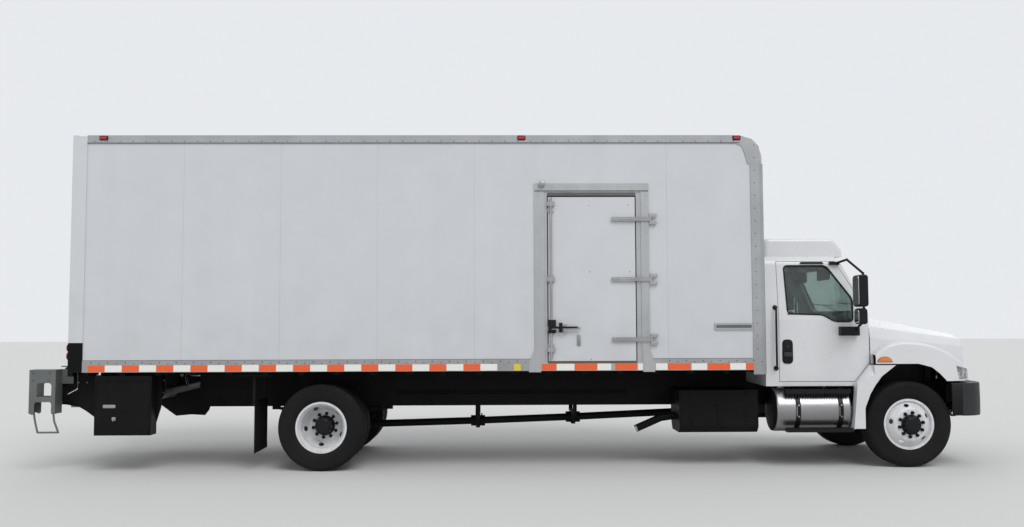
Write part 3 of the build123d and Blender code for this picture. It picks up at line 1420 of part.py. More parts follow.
# Steps at the tail: a plate each side with a window and two legs, and a rod loop below
step_thick = 8
step_length = 301
step_front_x = tail_x + 3 + step_length
step_rear_x = tail_x + 3
step_top_z = 1189
step_outer_y = 1286
step_inner_y = 1106
loop_radius = 11
with BuildPart() as step_brackets:
    for side in (1, -1):
        plate_outline = [
            (step_rear_x, step_top_z),
            (step_rear_x, 690),
            (step_rear_x + 40, 672),
            (step_rear_x + 62, 690),
            (step_rear_x + 62, 800),
            (step_rear_x + 80, 818),
            (step_front_x - 60, 818),
            (step_front_x - 44, 800),
            (step_front_x - 44, 684),
            (step_front_x, 684),
            (step_front_x, step_top_z),
        ]
        window = [
            (step_rear_x + 88, 880),
            (step_front_x - 46, 880),
            (step_front_x - 46, 1010),
            (step_front_x - 66, 1036),
            (step_rear_x + 104, 1036),
            (step_rear_x + 88, 1010),
        ]
        for y in (step_outer_y - step_thick, step_inner_y):
            y_pair = sorted((side * y, side * (y + step_thick)))
            plate_xz(plate_outline, y_pair[0], y_pair[1])
            plate_xz(window, y_pair[0] - 1, y_pair[1] + 1, Mode.SUBTRACT)
        inside = sorted((side * (step_inner_y + step_thick - 1), side * (step_outer_y - step_thick + 1)))
        for x_low, z_low, x_high, z_high in (
            (step_rear_x, 820, step_front_x, 826),
            (step_rear_x, step_top_z - 8, step_front_x, step_top_z),
            (step_rear_x, 690, step_rear_x + 8, 876),
            (step_front_x - 8, 684, step_front_x, step_top_z),
        ):
            slab((x_low, inside[0], z_low), (x_high, inside[1], z_high))
        loop_y = side * (step_outer_y - 25)
        loop = [
            (step_rear_x + 50, 700),
            (step_rear_x + 66, 600),
            (step_rear_x + 98, 470),
            (step_front_x + 34, 470),
            (step_front_x - 16, 600),
            (step_front_x - 28, 700),
        ]
        for (xa, za), (xb, zb) in zip(loop[:-1], loop[1:]):
            round_bar((xa, loop_y, za), (xb, loop_y, zb), loop_radius)
            with Locations((xa, loop_y, za)):
                Sphere(loop_radius)
        for x in (step_rear_x + 40, step_front_x - 38):
            ear = sorted((side * (step_outer_y - step_thick + 1), side * (step_outer_y - 38)))
            slab((x, ear[0], 690), (x + 22, ear[1], 712))
        tie = sorted((side * (step_inner_y + step_thick - 1), side * (step_inner_y + step_thick + 11)))
        slab((step_front_x - 1, tie[0], 1020), (box_rear_x - 0.3, tie[1], step_top_z))
        slab((box_rear_x - 12, inside[0], 1111), (box_rear_x - 0.3, inside[1], step_top_z))
save(step_brackets.part, "step_brackets")

# Liftgate: arms on a torsion tube, a level hinge carrier and a platform folded under the bed
pivot_x = rear_axle_x - 1990
pivot_z = 900
gate_hinge_x = rear_axle_x - 3080
gate_hinge_z = 800
arm_inner = 985
arm_outer = 1035
tube_radius = 57
lever_rise = 160
lever_inner = 26
rod_radius = 18
platform_half = 970
platform_thick = 40
platform_length = 690
tip_thick = 30
tip_length = 660
fold_gap = 3
deck_z = gate_hinge_z - platform_thick
tip_hinge_z = deck_z - fold_gap / 2
gate_knuckle_radius = 28
tip_knuckle_radius = 14
lip_reach = 25
tip_hinge_places = [-760, -250, 250, 760]
gate_tube_radius = 22
with BuildPart() as lift_arms:
    for side in (1, -1):
        y_pair = sorted((side * arm_inner, side * arm_outer))
        arm = [
            (pivot_x + 70, pivot_z + 50),
            (pivot_x + 80, pivot_z - 60),
            (pivot_x - 120, pivot_z - 180),
            (pivot_x - 560, pivot_z - 215),
            (gate_hinge_x + 60, gate_hinge_z - 30),
            (gate_hinge_x - 26, gate_hinge_z - 26),
            (gate_hinge_x - 26, gate_hinge_z + 26),
            (gate_hinge_x + 60, gate_hinge_z + 30),
            (pivot_x - 560, pivot_z - 120),
            (pivot_x - 180, pivot_z - 60),
            (pivot_x - 60, pivot_z + 60),
        ]
        plate_xz(arm, y_pair[0], y_pair[1])
    round_bar((pivot_x, -arm_outer, pivot_z), (pivot_x, arm_outer, pivot_z), tube_radius)
    lever = [
        (pivot_x - 62, pivot_z),
        (pivot_x + 62, pivot_z),
        (pivot_x + 28, pivot_z + lever_rise + 24),
        (pivot_x - 28, pivot_z + lever_rise + 24),
    ]
    for y in (-lever_inner - 9, lever_inner + 9):
        plate_xz(lever, y - 9, y + 9)
    for side in (1, -1):
        pin_start = (pivot_x, side * lever_inner, pivot_z + lever_rise)
        round_bar(pin_start, (pivot_x, side * 54, pivot_z + lever_rise), 14)
    for side in (1, -1):
        pin_start = (gate_hinge_x, side * (arm_inner - 5), gate_hinge_z)
        round_bar(pin_start, (gate_hinge_x, side * (arm_outer + 5), gate_hinge_z), 14.4, Mode.SUBTRACT)
save(lift_arms.part, "lift_arms")

rod_z = pivot_z + lever_rise
barrel_rear_x = rear_axle_x - 1730
barrel_front_x = rear_axle_x - 1180
with BuildPart() as lift_rod:
    round_bar((pivot_x + 26, 0, rod_z), (barrel_rear_x + 330, 0, rod_z), rod_radius)
    round_bar((pivot_x, -19, rod_z), (pivot_x, 19, rod_z), 30)
    round_bar((pivot_x, -21, rod_z), (pivot_x, 21, rod_z), 14)
save(lift_rod.part, "lift_rod")

with BuildPart() as gate_hinge:
    hinge_end = (gate_hinge_x, arm_inner - 6, gate_hinge_z)
    round_bar((gate_hinge_x, -arm_inner + 6, gate_hinge_z), hinge_end, gate_tube_radius)
    for side in (1, -1):
        y_pair = sorted((side * (arm_inner - 6), side * (arm_inner - 40)))
        slab(
            (gate_hinge_x - 24, y_pair[0], gate_hinge_z - 24),
            (gate_hinge_x + 24, y_pair[1], gate_hinge_z + 24),
        )
        pin = sorted((side * (arm_inner - 6), side * (arm_outer + 4)))
        round_bar((gate_hinge_x, pin[0], gate_hinge_z), (gate_hinge_x, pin[1], gate_hinge_z), 14)
save(gate_hinge.part, "gate_hinge")

platform_rear_x = gate_hinge_x + 34
platform_front_x = platform_rear_x + platform_length
deck_half = platform_half - 60
with BuildPart() as platform:
    slab(
        (platform_rear_x, -deck_half, deck_z),
        (platform_front_x - 20, deck_half, gate_hinge_z),
    )
    slab((gate_hinge_x - lip_reach, -deck_half, deck_z), (platform_rear_x + 1, deck_half, deck_z + 8))
    for y in (-700, -260, 260, 700):
        knuckle_start = (gate_hinge_x, y - 45, gate_hinge_z)
        round_bar(knuckle_start, (gate_hinge_x, y + 45, gate_hinge_z), gate_knuckle_radius)
        slab(
            (gate_hinge_x, y - 45, deck_z),
            (platform_rear_x + 10, y + 45, gate_hinge_z),
        )
        bore_start = (gate_hinge_x, y - 46, gate_hinge_z)
        round_bar(bore_start, (gate_hinge_x, y + 46, gate_hinge_z), gate_tube_radius + 0.4, Mode.SUBTRACT)
    for y in tip_hinge_places:
        knuckle_end = (platform_front_x, y - 1, tip_hinge_z)
        round_bar((platform_front_x, y - 80, tip_hinge_z), knuckle_end, tip_knuckle_radius)
        slab((platform_front_x - 24, y - 80, deck_z), (platform_front_x, y - 1, deck_z + 30))
        round_bar((platform_front_x, y - 80, tip_hinge_z), (platform_front_x, y + 80, tip_hinge_z), 6)
save(platform.part, "platform")
with BuildPart() as platform_tip:
    tip_high_z = deck_z - fold_gap
    slab(
        (platform_front_x - tip_length, -deck_half, tip_high_z - tip_thick),
        (platform_front_x - 20, deck_half, tip_high_z),
    )
    for y in tip_hinge_places:
        knuckle_end = (platform_front_x, y + 80, tip_hinge_z)
        round_bar((platform_front_x, y + 1, tip_hinge_z), knuckle_end, tip_knuckle_radius)
        slab((platform_front_x - 24, y + 1, tip_high_z - 26), (platform_front_x, y + 80, tip_high_z))
        round_bar((platform_front_x, y, tip_hinge_z), (platform_front_x, y + 81, tip_hinge_z), 6.4, Mode.SUBTRACT)
save(platform_tip.part, "platform_tip")

# Fixed liftgate frame: rear sill, lower posts, side plates, bearings, pump box and cylinder
with BuildPart() as liftgate_frame:
    for side in (1, -1):
        post = sorted((side * (box_half - rear_post_width), side * box_half))
        post_high_z = rear_post_low_z - joint_gap
        slab((box_rear_x, post[0], 1110), (box_rear_x + 59.5, post[1], post_high_z))
        cover = sorted((side * wall_outer, side * box_half))
        slab((box_rear_x + 59, cover[0], box_bottom_z), (box_rear_x + rear_post_depth, cover[1], post_high_z))
        plate = sorted((side * 1045, side * 1060))
        outline = [
            (box_rear_x + 160, cross_sill_bottom_z - 0.5),
            (box_rear_x + 160, 1221.5),
            (box_rear_x + 20, 1221.5),
            (box_rear_x + 20, 950),
            (box_rear_x - 110, 880),
            (box_rear_x - 110, 800),
            (box_rear_x - 80, 815),
            (box_rear_x + 120, 700),
            (box_rear_x + 480, 440),
            (box_rear_x + 690, 458),
            (box_rear_x + 880, 448),
            (box_rear_x + 935, 520),
            (box_rear_x + 1000, 740),
            (box_rear_x + 1000, 1000),
            (box_rear_x + 1000, cross_sill_bottom_z - 0.5),
        ]
        plate_xz(outline, plate[0], plate[1])
        hanger = sorted((side * 930, side * 950))
        bearing = [
            (pivot_x - 110, cross_sill_bottom_z - 0.5),
            (pivot_x - 90, pivot_z),
            (pivot_x - 60, pivot_z - 90),
            (pivot_x + 60, pivot_z - 90),
            (pivot_x + 90, pivot_z),
            (pivot_x + 110, cross_sill_bottom_z - 0.5),
        ]
        plate_xz(bearing, hanger[0], hanger[1])
        round_bar((pivot_x, hanger[0] - 1, pivot_z), (pivot_x, hanger[1] + 1, pivot_z), tube_radius + 1, Mode.SUBTRACT)
    sill_half = box_half - rear_post_width - 0.3
    slab((box_rear_x, -sill_half, 1222), (box_rear_x + 169.5, sill_half, 1249.5))
    slab((box_rear_x - 105, -platform_half, 1216), (box_rear_x + 20, platform_half, 1249.5))
    round_bar((barrel_rear_x, 0, rod_z), (barrel_front_x, 0, rod_z), 42)
    rod_bore = rod_radius + 0.4
    round_bar((barrel_rear_x - 1, 0, rod_z), (barrel_front_x - 60, 0, rod_z), rod_bore, Mode.SUBTRACT)
    beam_end = long_sill_y - long_sill_half_width - joint_gap
    slab((barrel_front_x - 20, -beam_end, rod_z - 30), (barrel_front_x + 20, beam_end, rod_z + 30))
    pump_rear_x = rear_axle_x - 2600
    pump_front_x = rear_axle_x - 1950
    slab((pump_rear_x, -1250, 430), (pump_front_x, -1060, cross_sill_bottom_z - 0.5))
save(liftgate_frame.part, "liftgate_frame")
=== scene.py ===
import bpy
import bmesh
import math
from mathutils import Matrix, Vector


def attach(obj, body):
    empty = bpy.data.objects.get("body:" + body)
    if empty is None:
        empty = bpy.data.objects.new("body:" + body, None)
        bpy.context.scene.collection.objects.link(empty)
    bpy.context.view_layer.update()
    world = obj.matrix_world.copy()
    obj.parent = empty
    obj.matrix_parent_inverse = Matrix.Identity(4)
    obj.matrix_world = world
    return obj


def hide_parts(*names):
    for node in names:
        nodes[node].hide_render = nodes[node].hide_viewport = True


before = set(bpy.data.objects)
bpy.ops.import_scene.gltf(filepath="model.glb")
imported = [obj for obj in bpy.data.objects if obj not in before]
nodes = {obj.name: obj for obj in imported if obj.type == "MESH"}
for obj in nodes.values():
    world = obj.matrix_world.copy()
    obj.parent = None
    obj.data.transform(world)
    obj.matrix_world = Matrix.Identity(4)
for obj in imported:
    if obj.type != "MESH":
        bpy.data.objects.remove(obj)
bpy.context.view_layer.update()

# Places repeated from the CAD source, in metres
rear_axle_x = -2.295
front_axle_x = 4.615
axle_z = 0.503
tyre_radius = 0.503
front_track_half = 1.0
dual_plane_half = 0.912
wheel_offset = 0.168
box_rear_x = -5.195
box_half = 1.295
wall_outer = 1.285
hood_hinge_y = 0.3
side_names = {"right": -1, "left": 1}
both_sides = (-1, 1)


# Node helpers for procedural materials
def feed(tree, node, inputs):
    """Gives each input a plain value, a colour, or a link from another node's output."""
    for key, value in inputs.items():
        socket = node.inputs[key]
        if isinstance(value, bpy.types.NodeSocket):
            tree.links.new(value, socket)
        elif socket.type == "RGBA":
            socket.default_value = (*value, 1.0)
        else:
            socket.default_value = value


def add_node(tree, kind, output, inputs, **settings):
    node = tree.nodes.new("ShaderNode" + kind)
    for key, value in settings.items():
        setattr(node, key, value)
    feed(tree, node, inputs)
    return node.outputs[output]


def scaled(colour, factor):
    return tuple(c * factor for c in colour)


finishes = {}


class Look:
    """A procedural material, kept in finishes under its name."""

    def __init__(self, name):
        self.material = bpy.data.materials.new(name)
        self.material.use_nodes = True
        self.tree = self.material.node_tree
        self.place = self.add("TexCoord", "Object", {})
        finishes[name] = self.material

    def add(self, kind, output, inputs, **settings):
        return add_node(self.tree, kind, output, inputs, **settings)

    def noise(self, scale, detail, rough=0.55, stretch=None):
        vector = self.place
        if stretch is not None:
            vector = self.add("Mapping", "Vector", {"Scale": stretch, "Vector": vector})
        return self.add("TexNoise", "Fac",
                        {"Scale": scale, "Detail": detail, "Roughness": rough, "Vector": vector})

    def remap(self, value, low, high, to_low=0.0, to_high=1.0):
        ends = {"From Min": low, "From Max": high, "To Min": to_low, "To Max": to_high}
        return self.add("MapRange", "Result", {"Value": value, **ends})

    def calc(self, operation, *values):
        return self.add("Math", 0, dict(enumerate(values)), operation=operation)

    def mix(self, factor, first, second):
        return self.add("Mix", 2, {"Factor": factor, 6: first, 7: second}, data_type="RGBA")

    def finish(self, inputs, relief=None, strength=0.0):
        if relief is not None:
            height = {"Strength": strength, "Distance": 0.001, "Height": relief}
            inputs["Normal"] = self.add("Bump", "Normal", height)
        feed(self.tree, self.tree.nodes["Principled BSDF"], inputs)


def surface(name, colour, rough, metal=0.0, coat=0.0, vary=0.06, grime=None,
            grime_colour=(0.16, 0.13, 0.10), grain=None, streak=None, rough_vary=0.08, specular=0.5):
    """Colour with slow cloudy variation, road dust that thins out upwards, and a fine grain."""
    look = Look(name)
    light = tuple(min(1.0, c * (1 + vary * 0.6)) for c in colour)
    tone = look.mix(look.remap(look.noise(2.3, 5.0), 0.35, 0.65), scaled(colour, 1 - vary), light)
    if streak is not None:
        scale, stretch, share = streak
        lines = look.remap(look.noise(scale, 3.0, 0.6, stretch), 0.3, 0.7, 0.0, share)
        tone = look.mix(lines, tone, scaled(colour, 0.72))
    rough_out = look.remap(look.noise(9.0, 6.0), 0.3, 0.7, max(0.0, rough - rough_vary), rough + rough_vary)
    if grime is not None:
        amount, low, high = grime
        height = look.add("SeparateXYZ", 2, {0: look.place})
        fade = look.remap(height, low, high, amount, amount * 0.08)
        patch = look.remap(look.noise(3.0, 3.0, 0.5), 0.35, 0.65, 0.35, 1.0)
        dust = look.calc("MULTIPLY", fade, patch)
        tone = look.mix(dust, tone, grime_colour)
        rough_out = look.calc("ADD", rough_out, look.calc("MULTIPLY", dust, 0.35))
    inputs = {"Base Color": tone, "Roughness": rough_out, "Metallic": metal, "Specular IOR Level": specular,
              "Coat Weight": coat, "Coat Roughness": 0.08}
    if grain is None:
        look.finish(inputs)
    else:
        look.finish(inputs, look.noise(grain[1], 3.0), grain[0])


# Colour, roughness and what differs from plain; grime is amount, low and high end, grain is depth and scale
dust_range = (0.2, 1.6)
surfaces = {
    "cab_paint": ((0.68, 0.69, 0.70), 0.32, dict(
        coat=0.3, vary=0.025, grime=(0.16, 0.4, 1.3), grain=(0.004, 60.0))),
    "panel_paint": ((0.60, 0.615, 0.64), 0.42, dict(
        coat=0.12, vary=0.025, grime=(0.10, 1.1, 2.4), grain=(0.03, 60.0),
        streak=(3.0, (1.0, 1.0, 0.05), 0.10))),
    "roof_paint": ((0.56, 0.57, 0.58), 0.5, dict(vary=0.08, grain=(0.04, 80.0))),
    "rail_metal": ((0.42, 0.43, 0.44), 0.42, dict(
        metal=0.85, vary=0.10, grime=(0.18, 1.0, 2.2), streak=(14.0, (0.15, 8.0, 8.0), 0.35))),
    "post_metal": ((0.46, 0.47, 0.48), 0.45, dict(
        metal=0.7, vary=0.08, grime=(0.15, 1.0, 2.0), streak=(14.0, (8.0, 8.0, 0.15), 0.3))),
    "frame_black": ((0.006, 0.006, 0.007), 0.5, dict(
        vary=0.2, grime=(0.04, 0.2, 1.2), grain=(0.08, 120.0), specular=0.08)),
    "gate_black": ((0.006, 0.006, 0.007), 0.42, dict(
        vary=0.2, grime=(0.04, 0.2, 1.3), grain=(0.06, 140.0), specular=0.09)),
    "cast_iron": ((0.045, 0.044, 0.043), 0.65, dict(
        metal=0.4, vary=0.25, grime=(0.12, *dust_range), grain=(0.25, 160.0), specular=0.2)),
    "rubber": ((0.008, 0.008, 0.009), 0.75, dict(
        vary=0.15, grime=(0.06, *dust_range), grain=(0.12, 350.0), specular=0.12)),
    "seal_rubber": ((0.012, 0.012, 0.013), 0.55, dict(vary=0.1, grain=(0.05, 400.0), specular=0.2)),
    "tyre_rubber": ((0.008, 0.008, 0.009), 0.7, dict(
        vary=0.2, grime=(0.08, -0.1, 0.9), grime_colour=(0.12, 0.10, 0.08), grain=(0.15, 420.0),
        specular=0.14)),
    "dark_plastic": ((0.030, 0.032, 0.035), 0.5, dict(
        vary=0.12, grime=(0.06, 0.4, 1.4), grain=(0.25, 650.0), specular=0.3)),
    "black_plastic": ((0.007, 0.007, 0.008), 0.42, dict(vary=0.1, grain=(0.15, 600.0), specular=0.22)),
    "trim_grey": ((0.045, 0.045, 0.048), 0.7, dict(vary=0.1, grain=(0.3, 500.0))),
    "chrome": ((0.62, 0.62, 0.63), 0.12, dict(metal=1.0, vary=0.04, grime=(0.10, 0.3, 1.2),
                                              rough_vary=0.05)),
    "tank_metal": ((0.34, 0.34, 0.35), 0.30, dict(
        metal=1.0, vary=0.05, grime=(0.22, 0.3, 0.9), streak=(30.0, (1.0, 6.0, 6.0), 0.10),
        rough_vary=0.06)),
    "zinc": ((0.38, 0.38, 0.38), 0.42, dict(metal=0.9, vary=0.18, grime=(0.15, *dust_range),
                                            grain=(0.05, 200.0))),
    "galvanised": ((0.13, 0.14, 0.14), 0.5, dict(
        metal=0.3, vary=0.15, grime=(0.2, *dust_range), grain=(0.06, 200.0))),
    "plate_metal": ((0.34, 0.345, 0.35), 0.45, dict(
        metal=0.9, vary=0.12, grime=(0.15, *dust_range), streak=(20.0, (8.0, 0.2, 8.0), 0.3))),
    "bumper_grey": ((0.022, 0.024, 0.027), 0.5, dict(
        vary=0.10, grime=(0.06, 0.4, 1.6), grain=(0.25, 500.0), specular=0.25)),
    "dull_steel": ((0.13, 0.13, 0.135), 0.5, dict(metal=0.6, vary=0.2, grime=(0.1, *dust_range))),
    "sill_brown": ((0.13, 0.085, 0.055), 0.6, dict(vary=0.15, grime=(0.15, *dust_range))),
    "seat_cloth": ((0.028, 0.029, 0.032), 0.9, dict(vary=0.12, grain=(0.6, 900.0))),
    "floor_mat": ((0.03, 0.03, 0.032), 0.85, dict(vary=0.15, grain=(0.3, 500.0))),
    "wood_deck": ((0.24, 0.155, 0.085), 0.6, dict(
        vary=0.2, grain=(0.15, 90.0), streak=(5.0, (0.2, 6.0, 6.0), 0.5))),
    "mirror_glass": ((0.80, 0.82, 0.83), 0.03, dict(metal=1.0, vary=0.02, rough_vary=0.01)),
}
for name, (colour, rough, options) in surfaces.items():
    surface(name, colour, rough, **options)


def lens(name, colour, transmission, rough=0.12):
    look = Look(name)
    ribs = look.noise(35.0, 2.0)
    tone = look.mix(look.remap(ribs, 0.3, 0.7), scaled(colour, 0.8), colour)
    look.finish({"Base Color": tone, "Roughness": rough, "Transmission Weight": transmission, "IOR": 1.49,
                 "Coat Weight": 0.6}, ribs, 0.15)


lens("red_lens", (0.50, 0.012, 0.012), 0.15)
lens("amber_lens", (0.90, 0.22, 0.02), 0.15)
lens("clear_lens", (0.85, 0.86, 0.87), 0.9, 0.03)
lens("white_lens", (0.75, 0.76, 0.77), 0.2)


def tinted(name, colour, transmission):
    look = Look(name)
    tone = look.mix(look.remap(look.noise(4.0, 6.0), 0.3, 0.7), scaled(colour, 0.85), colour)
    look.finish({"Base Color": tone, "Roughness": 0.02, "Transmission Weight": transmission, "IOR": 1.45})


tinted("cab_glass", (0.52, 0.62, 0.585), 0.95)


def tape_finish(name, colour):
    look = Look(name)
    cells = look.add("TexVoronoi", "Distance", {"Scale": 220.0, "Vector": look.place})
    tone = look.mix(look.remap(cells, 0.0, 0.8), colour, scaled(colour, 0.82))
    look.finish({"Base Color": tone, "Roughness": 0.35, "Coat Weight": 0.4})


tape_finish("tape_orange", (0.90, 0.125, 0.02))
tape_finish("tape_white", (0.90, 0.90, 0.86))
tape_finish("tape_yellow", (0.80, 0.62, 0.03))


def rim_finish(name):
    """White wheel paint that turns to black grease at the hub, with some rust near it."""
    look = Look(name)
    along = look.add("SeparateXYZ", 0, {0: look.place})
    height = look.add("SeparateXYZ", 2, {0: look.place})
    reaches = [look.calc("ABSOLUTE", look.calc("SUBTRACT", along, x)) for x in (front_axle_x, rear_axle_x)]
    across = look.calc("MINIMUM", *reaches)
    up = look.calc("SUBTRACT", height, axle_z)
    squares = look.calc("ADD", look.calc("MULTIPLY", across, across), look.calc("MULTIPLY", up, up))
    radius = look.calc("SQRT", squares)
    cloud = look.noise(12.0, 6.0, 0.7)
    rust = look.remap(look.noise(26.0, 8.0, 0.75), 0.56, 0.66, 0.0, 0.35)
    tone = look.mix(look.remap(cloud, 0.35, 0.7), (0.74, 0.75, 0.77), (0.58, 0.58, 0.58))
    near_hub = look.remap(radius, 0.09, 0.24, 0.5, 0.08)
    tone = look.mix(look.calc("MULTIPLY", rust, near_hub), tone, (0.30, 0.17, 0.10))
    tone = look.mix(look.calc("LESS_THAN", radius, 0.0895), tone, (0.02, 0.02, 0.02))
    look.finish({"Base Color": tone, "Roughness": look.remap(cloud, 0.3, 0.7, 0.32, 0.5)})


rim_finish("rim_paint")


# Outlines, rows and rings of points
def side_view(a, b, depth):
    return (a, depth, b)


def front_view(a, b, depth):
    return (depth, a, b)


def top_view(a, b, depth):
    return (a, b, depth)


def rounded(points, radius, steps=4):
    """Outline with each corner rounded by a short arc."""
    result = []
    for i, point in enumerate(points):
        corner = Vector(point)
        first = Vector(points[i - 1]) - corner
        second = Vector(points[(i + 1) % len(points)]) - corner
        reach = min(radius, first.length * 0.45, second.length * 0.45)
        start = corner + first.normalized() * reach
        end = corner + second.normalized() * reach
        for k in range(steps + 1):
            t = k / steps
            place = start * (1 - t) ** 2 + corner * (2 * t * (1 - t)) + end * t ** 2
            result.append((place.x, place.y))
    return result


def rectangle(first, last, radius, steps=3):
    (a, b), (c, d) = first, last
    return rounded([(a, b), (c, b), (c, d), (a, d)], radius, steps)


def spaced(start, step, count):
    return [start + k * step for k in range(count)]


def ring(count, radius, lead=0.0):
    """Points round a circle; lead is the first one's place in steps."""
    turns = [2 * math.pi * (k + lead) / count for k in range(count)]
    return [(radius * math.cos(turn), radius * math.sin(turn)) for turn in turns]


def half_turn(centre, radii, steps, first=0.0):
    """Points along half an ellipse."""
    angles = [first + math.pi * k / steps for k in range(steps + 1)]
    return [(centre[0] + radii[0] * math.cos(a), centre[1] + radii[1] * math.sin(a)) for a in angles]


def axis_frame(direction):
    direction = Vector(direction).normalized()
    other = Vector((0, 0, 1)) if abs(direction.z) < 0.9 else Vector((1, 0, 0))
    side = direction.cross(other).normalized()
    return side, side.cross(direction).normalized(), direction


class Shape:
    """A piece in the making; index is the material of the faces that are added."""

    def __init__(self):
        self.bm = bmesh.new()
        self.index = 0

    def vertex(self, place):
        return self.bm.verts.new(place)

    def face(self, corners):
        self.bm.faces.new(corners).material_index = self.index

    def band(self, first, second, closed=False, flip=False):
        """Quads between two rows of vertices; flip winds them the other way."""
        count = len(first)
        for i in range(count if closed else count - 1):
            j = (i + 1) % count
            quad = [first[i], second[i], second[j], first[j]]
            self.face([quad[0], *quad[:0:-1]] if flip else quad)

    def box(self, low, high):
        low, high = [min(a, b) for a, b in zip(low, high)], [max(a, b) for a, b in zip(low, high)]
        ends = list(zip(low, high))
        corners = [self.vertex((x, y, z)) for x in ends[0] for y in ends[1] for z in ends[2]]
        for quad in ((0, 1, 3, 2), (4, 6, 7, 5), (0, 4, 5, 1), (2, 3, 7, 6), (0, 2, 6, 4), (1, 5, 7, 3)):
            self.face([corners[i] for i in quad])

    def lathe(self, centre, direction, profile, segments=32, closed=False):
        """Turns (distance along, radius) points round an axis; a zero radius closes an end."""
        side, up, along = axis_frame(direction)
        rings = []
        for distance, radius in profile:
            middle = Vector(centre) + along * distance
            if radius < 1e-7:
                rings.append([self.vertex(middle)])
            else:
                rings.append([self.vertex(middle + (side * a + up * b)) for a, b in ring(segments, radius)])
        pairs = list(zip(rings[:-1], rings[1:]))
        if closed:
            pairs.append((rings[-1], rings[0]))
        for first, second in pairs:
            if len(first) > 1 and len(second) > 1:
                self.band(first, second, True)
            elif len(first) > 1 or len(second) > 1:
                for i in range(segments):
                    j = (i + 1) % segments
                    if len(first) == 1:
                        self.face([first[0], second[i], second[j]])
                    else:
                        self.face([first[i], second[0], first[j]])

    def rod(self, start, end, radius, segments=12):
        path = Vector(end) - Vector(start)
        self.lathe(start, path, [(0, 0), (0, radius), (path.length, radius), (path.length, 0)], segments)

    def dome(self, centre, direction, radius, height, segments=10):
        profile = [(0, 0), (0, radius), (height * 0.55, radius * 0.85),
                   (height * 0.9, radius * 0.45), (height, 0)]
        self.lathe(centre, direction, profile, segments)

    def nut(self, centre, direction, across, height):
        radius = across / math.sqrt(3)
        profile = [(0, 0), (0, radius), (height * 0.85, radius), (height, radius * 0.86), (height, 0)]
        self.lathe(centre, direction, profile, 6)

    def tube(self, points, radius, segments=10):
        """Tube along a polyline, with the rings turned to halve each corner."""
        points = [Vector(p) for p in points]
        steps = [(b - a).normalized() for a, b in zip(points[:-1], points[1:])]
        side = axis_frame(steps[0])[0]
        previous = None
        for k, point in enumerate(points):
            heading = (steps[max(k - 1, 0)] + steps[min(k, len(steps) - 1)]).normalized()
            side = (side - heading * side.dot(heading)).normalized()
            up = heading.cross(side)
            circle = [self.vertex(point + side * a + up * b) for a, b in ring(segments, radius)]
            if previous is None:
                self.face(circle)
            else:
                self.band(previous, circle, True, True)
            previous = circle
        self.face(previous[::-1])

    def loop(self, points, radius, segments=8):
        self.tube([*points, points[0], points[1]], radius, segments)

    def prism(self, points, view, low, high):
        bottom, top = [[self.vertex(view(a, b, depth)) for a, b in points] for depth in (low, high)]
        self.face(bottom)
        self.face(top[::-1])
        self.band(bottom, top, True)

    def plate(self, view, first, last, low, high, radius, steps=3):
        """Rounded rectangle between two corners of its outline."""
        self.prism(rectangle(first, last, radius, steps), view, low, high)

    def finish(self, name, finish, body="truck", slot="dark_plastic", smooth=40, bevel=0.0):
        """Bevels the sharp edges if asked, and puts the piece on its body."""
        bm = self.bm
        bmesh.ops.recalc_face_normals(bm, faces=bm.faces)
        if bevel > 0:
            edges = [e for e in bm.edges if len(e.link_faces) == 2 and e.calc_face_angle(0) > 0.6]
            bmesh.ops.bevel(bm, geom=edges, offset=bevel, segments=2, profile=0.5,
                            affect="EDGES", clamp_overlap=True)
        if smooth is not None:
            bm.normal_update()
            for face in bm.faces:
                face.smooth = True
            for edge in bm.edges:
                flat = len(edge.link_faces) == 2 and edge.calc_face_angle(0) > math.radians(smooth)
                edge.smooth = not flat
        mesh = bpy.data.meshes.new(name)
        bm.to_mesh(mesh)
        bm.free()
        piece = bpy.data.objects.new(name, mesh)
        bpy.context.scene.collection.objects.link(piece)
        for key in finish if isinstance(finish, list) else [finish]:
            mesh.materials.append(finishes[key])
        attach(piece, body)
        return piece


# CAD nodes by finish
node_finish = {
    "frame_black": "chassis_frame drive_shafts rear_axle leaf_springs front_axle tie_rod chassis_boxes "
                   "floor_sills",
    "cast_iron": "engine_block knuckle_right knuckle_left",
    "tank_metal": "fuel_tank",
    "black_plastic": "tank_steps grille mirror_right mirror_left steering_wheel",
    "dark_plastic": "front_bumper",
    "cab_paint": "cab_floor cab_roof cab_back cab_front roof_fairing fender_extensions hood cab_door_right "
                 "cab_door_left",
    "cab_glass": "windshield door_glass_right door_glass_left",
    "clear_lens": "headlamps",
    "trim_grey": "cab_interior",
    "wood_deck": "box_floor",
    "panel_paint": "box_wall_left box_wall_right box_front_wall rear_frame roll_up_door side_door",
    "roof_paint": "box_roof",
    "rail_metal": "box_rails",
    "post_metal": "side_door_frame",
    "zinc": "side_door_hardware",
    "red_lens": "box_lamps",
    "rubber": "mud_flaps",
    "galvanised": "step_brackets",
    "gate_black": "liftgate_frame lift_arms gate_hinge",
    "plate_metal": "platform platform_tip",
    "chrome": "lift_rod",
    "tyre_rubber": "front_tyre_right front_tyre_left rear_tyres_right rear_tyres_left",
    "rim_paint": "front_rim_right front_rim_left rear_rims_right rear_rims_left",
}
for finish, names in node_finish.items():
    for name in names.split():
        mesh = nodes[name].data
        mesh.materials.clear()
        mesh.materials.append(finishes[finish])
        for poly in mesh.polygons:
            poly.material_index = 0

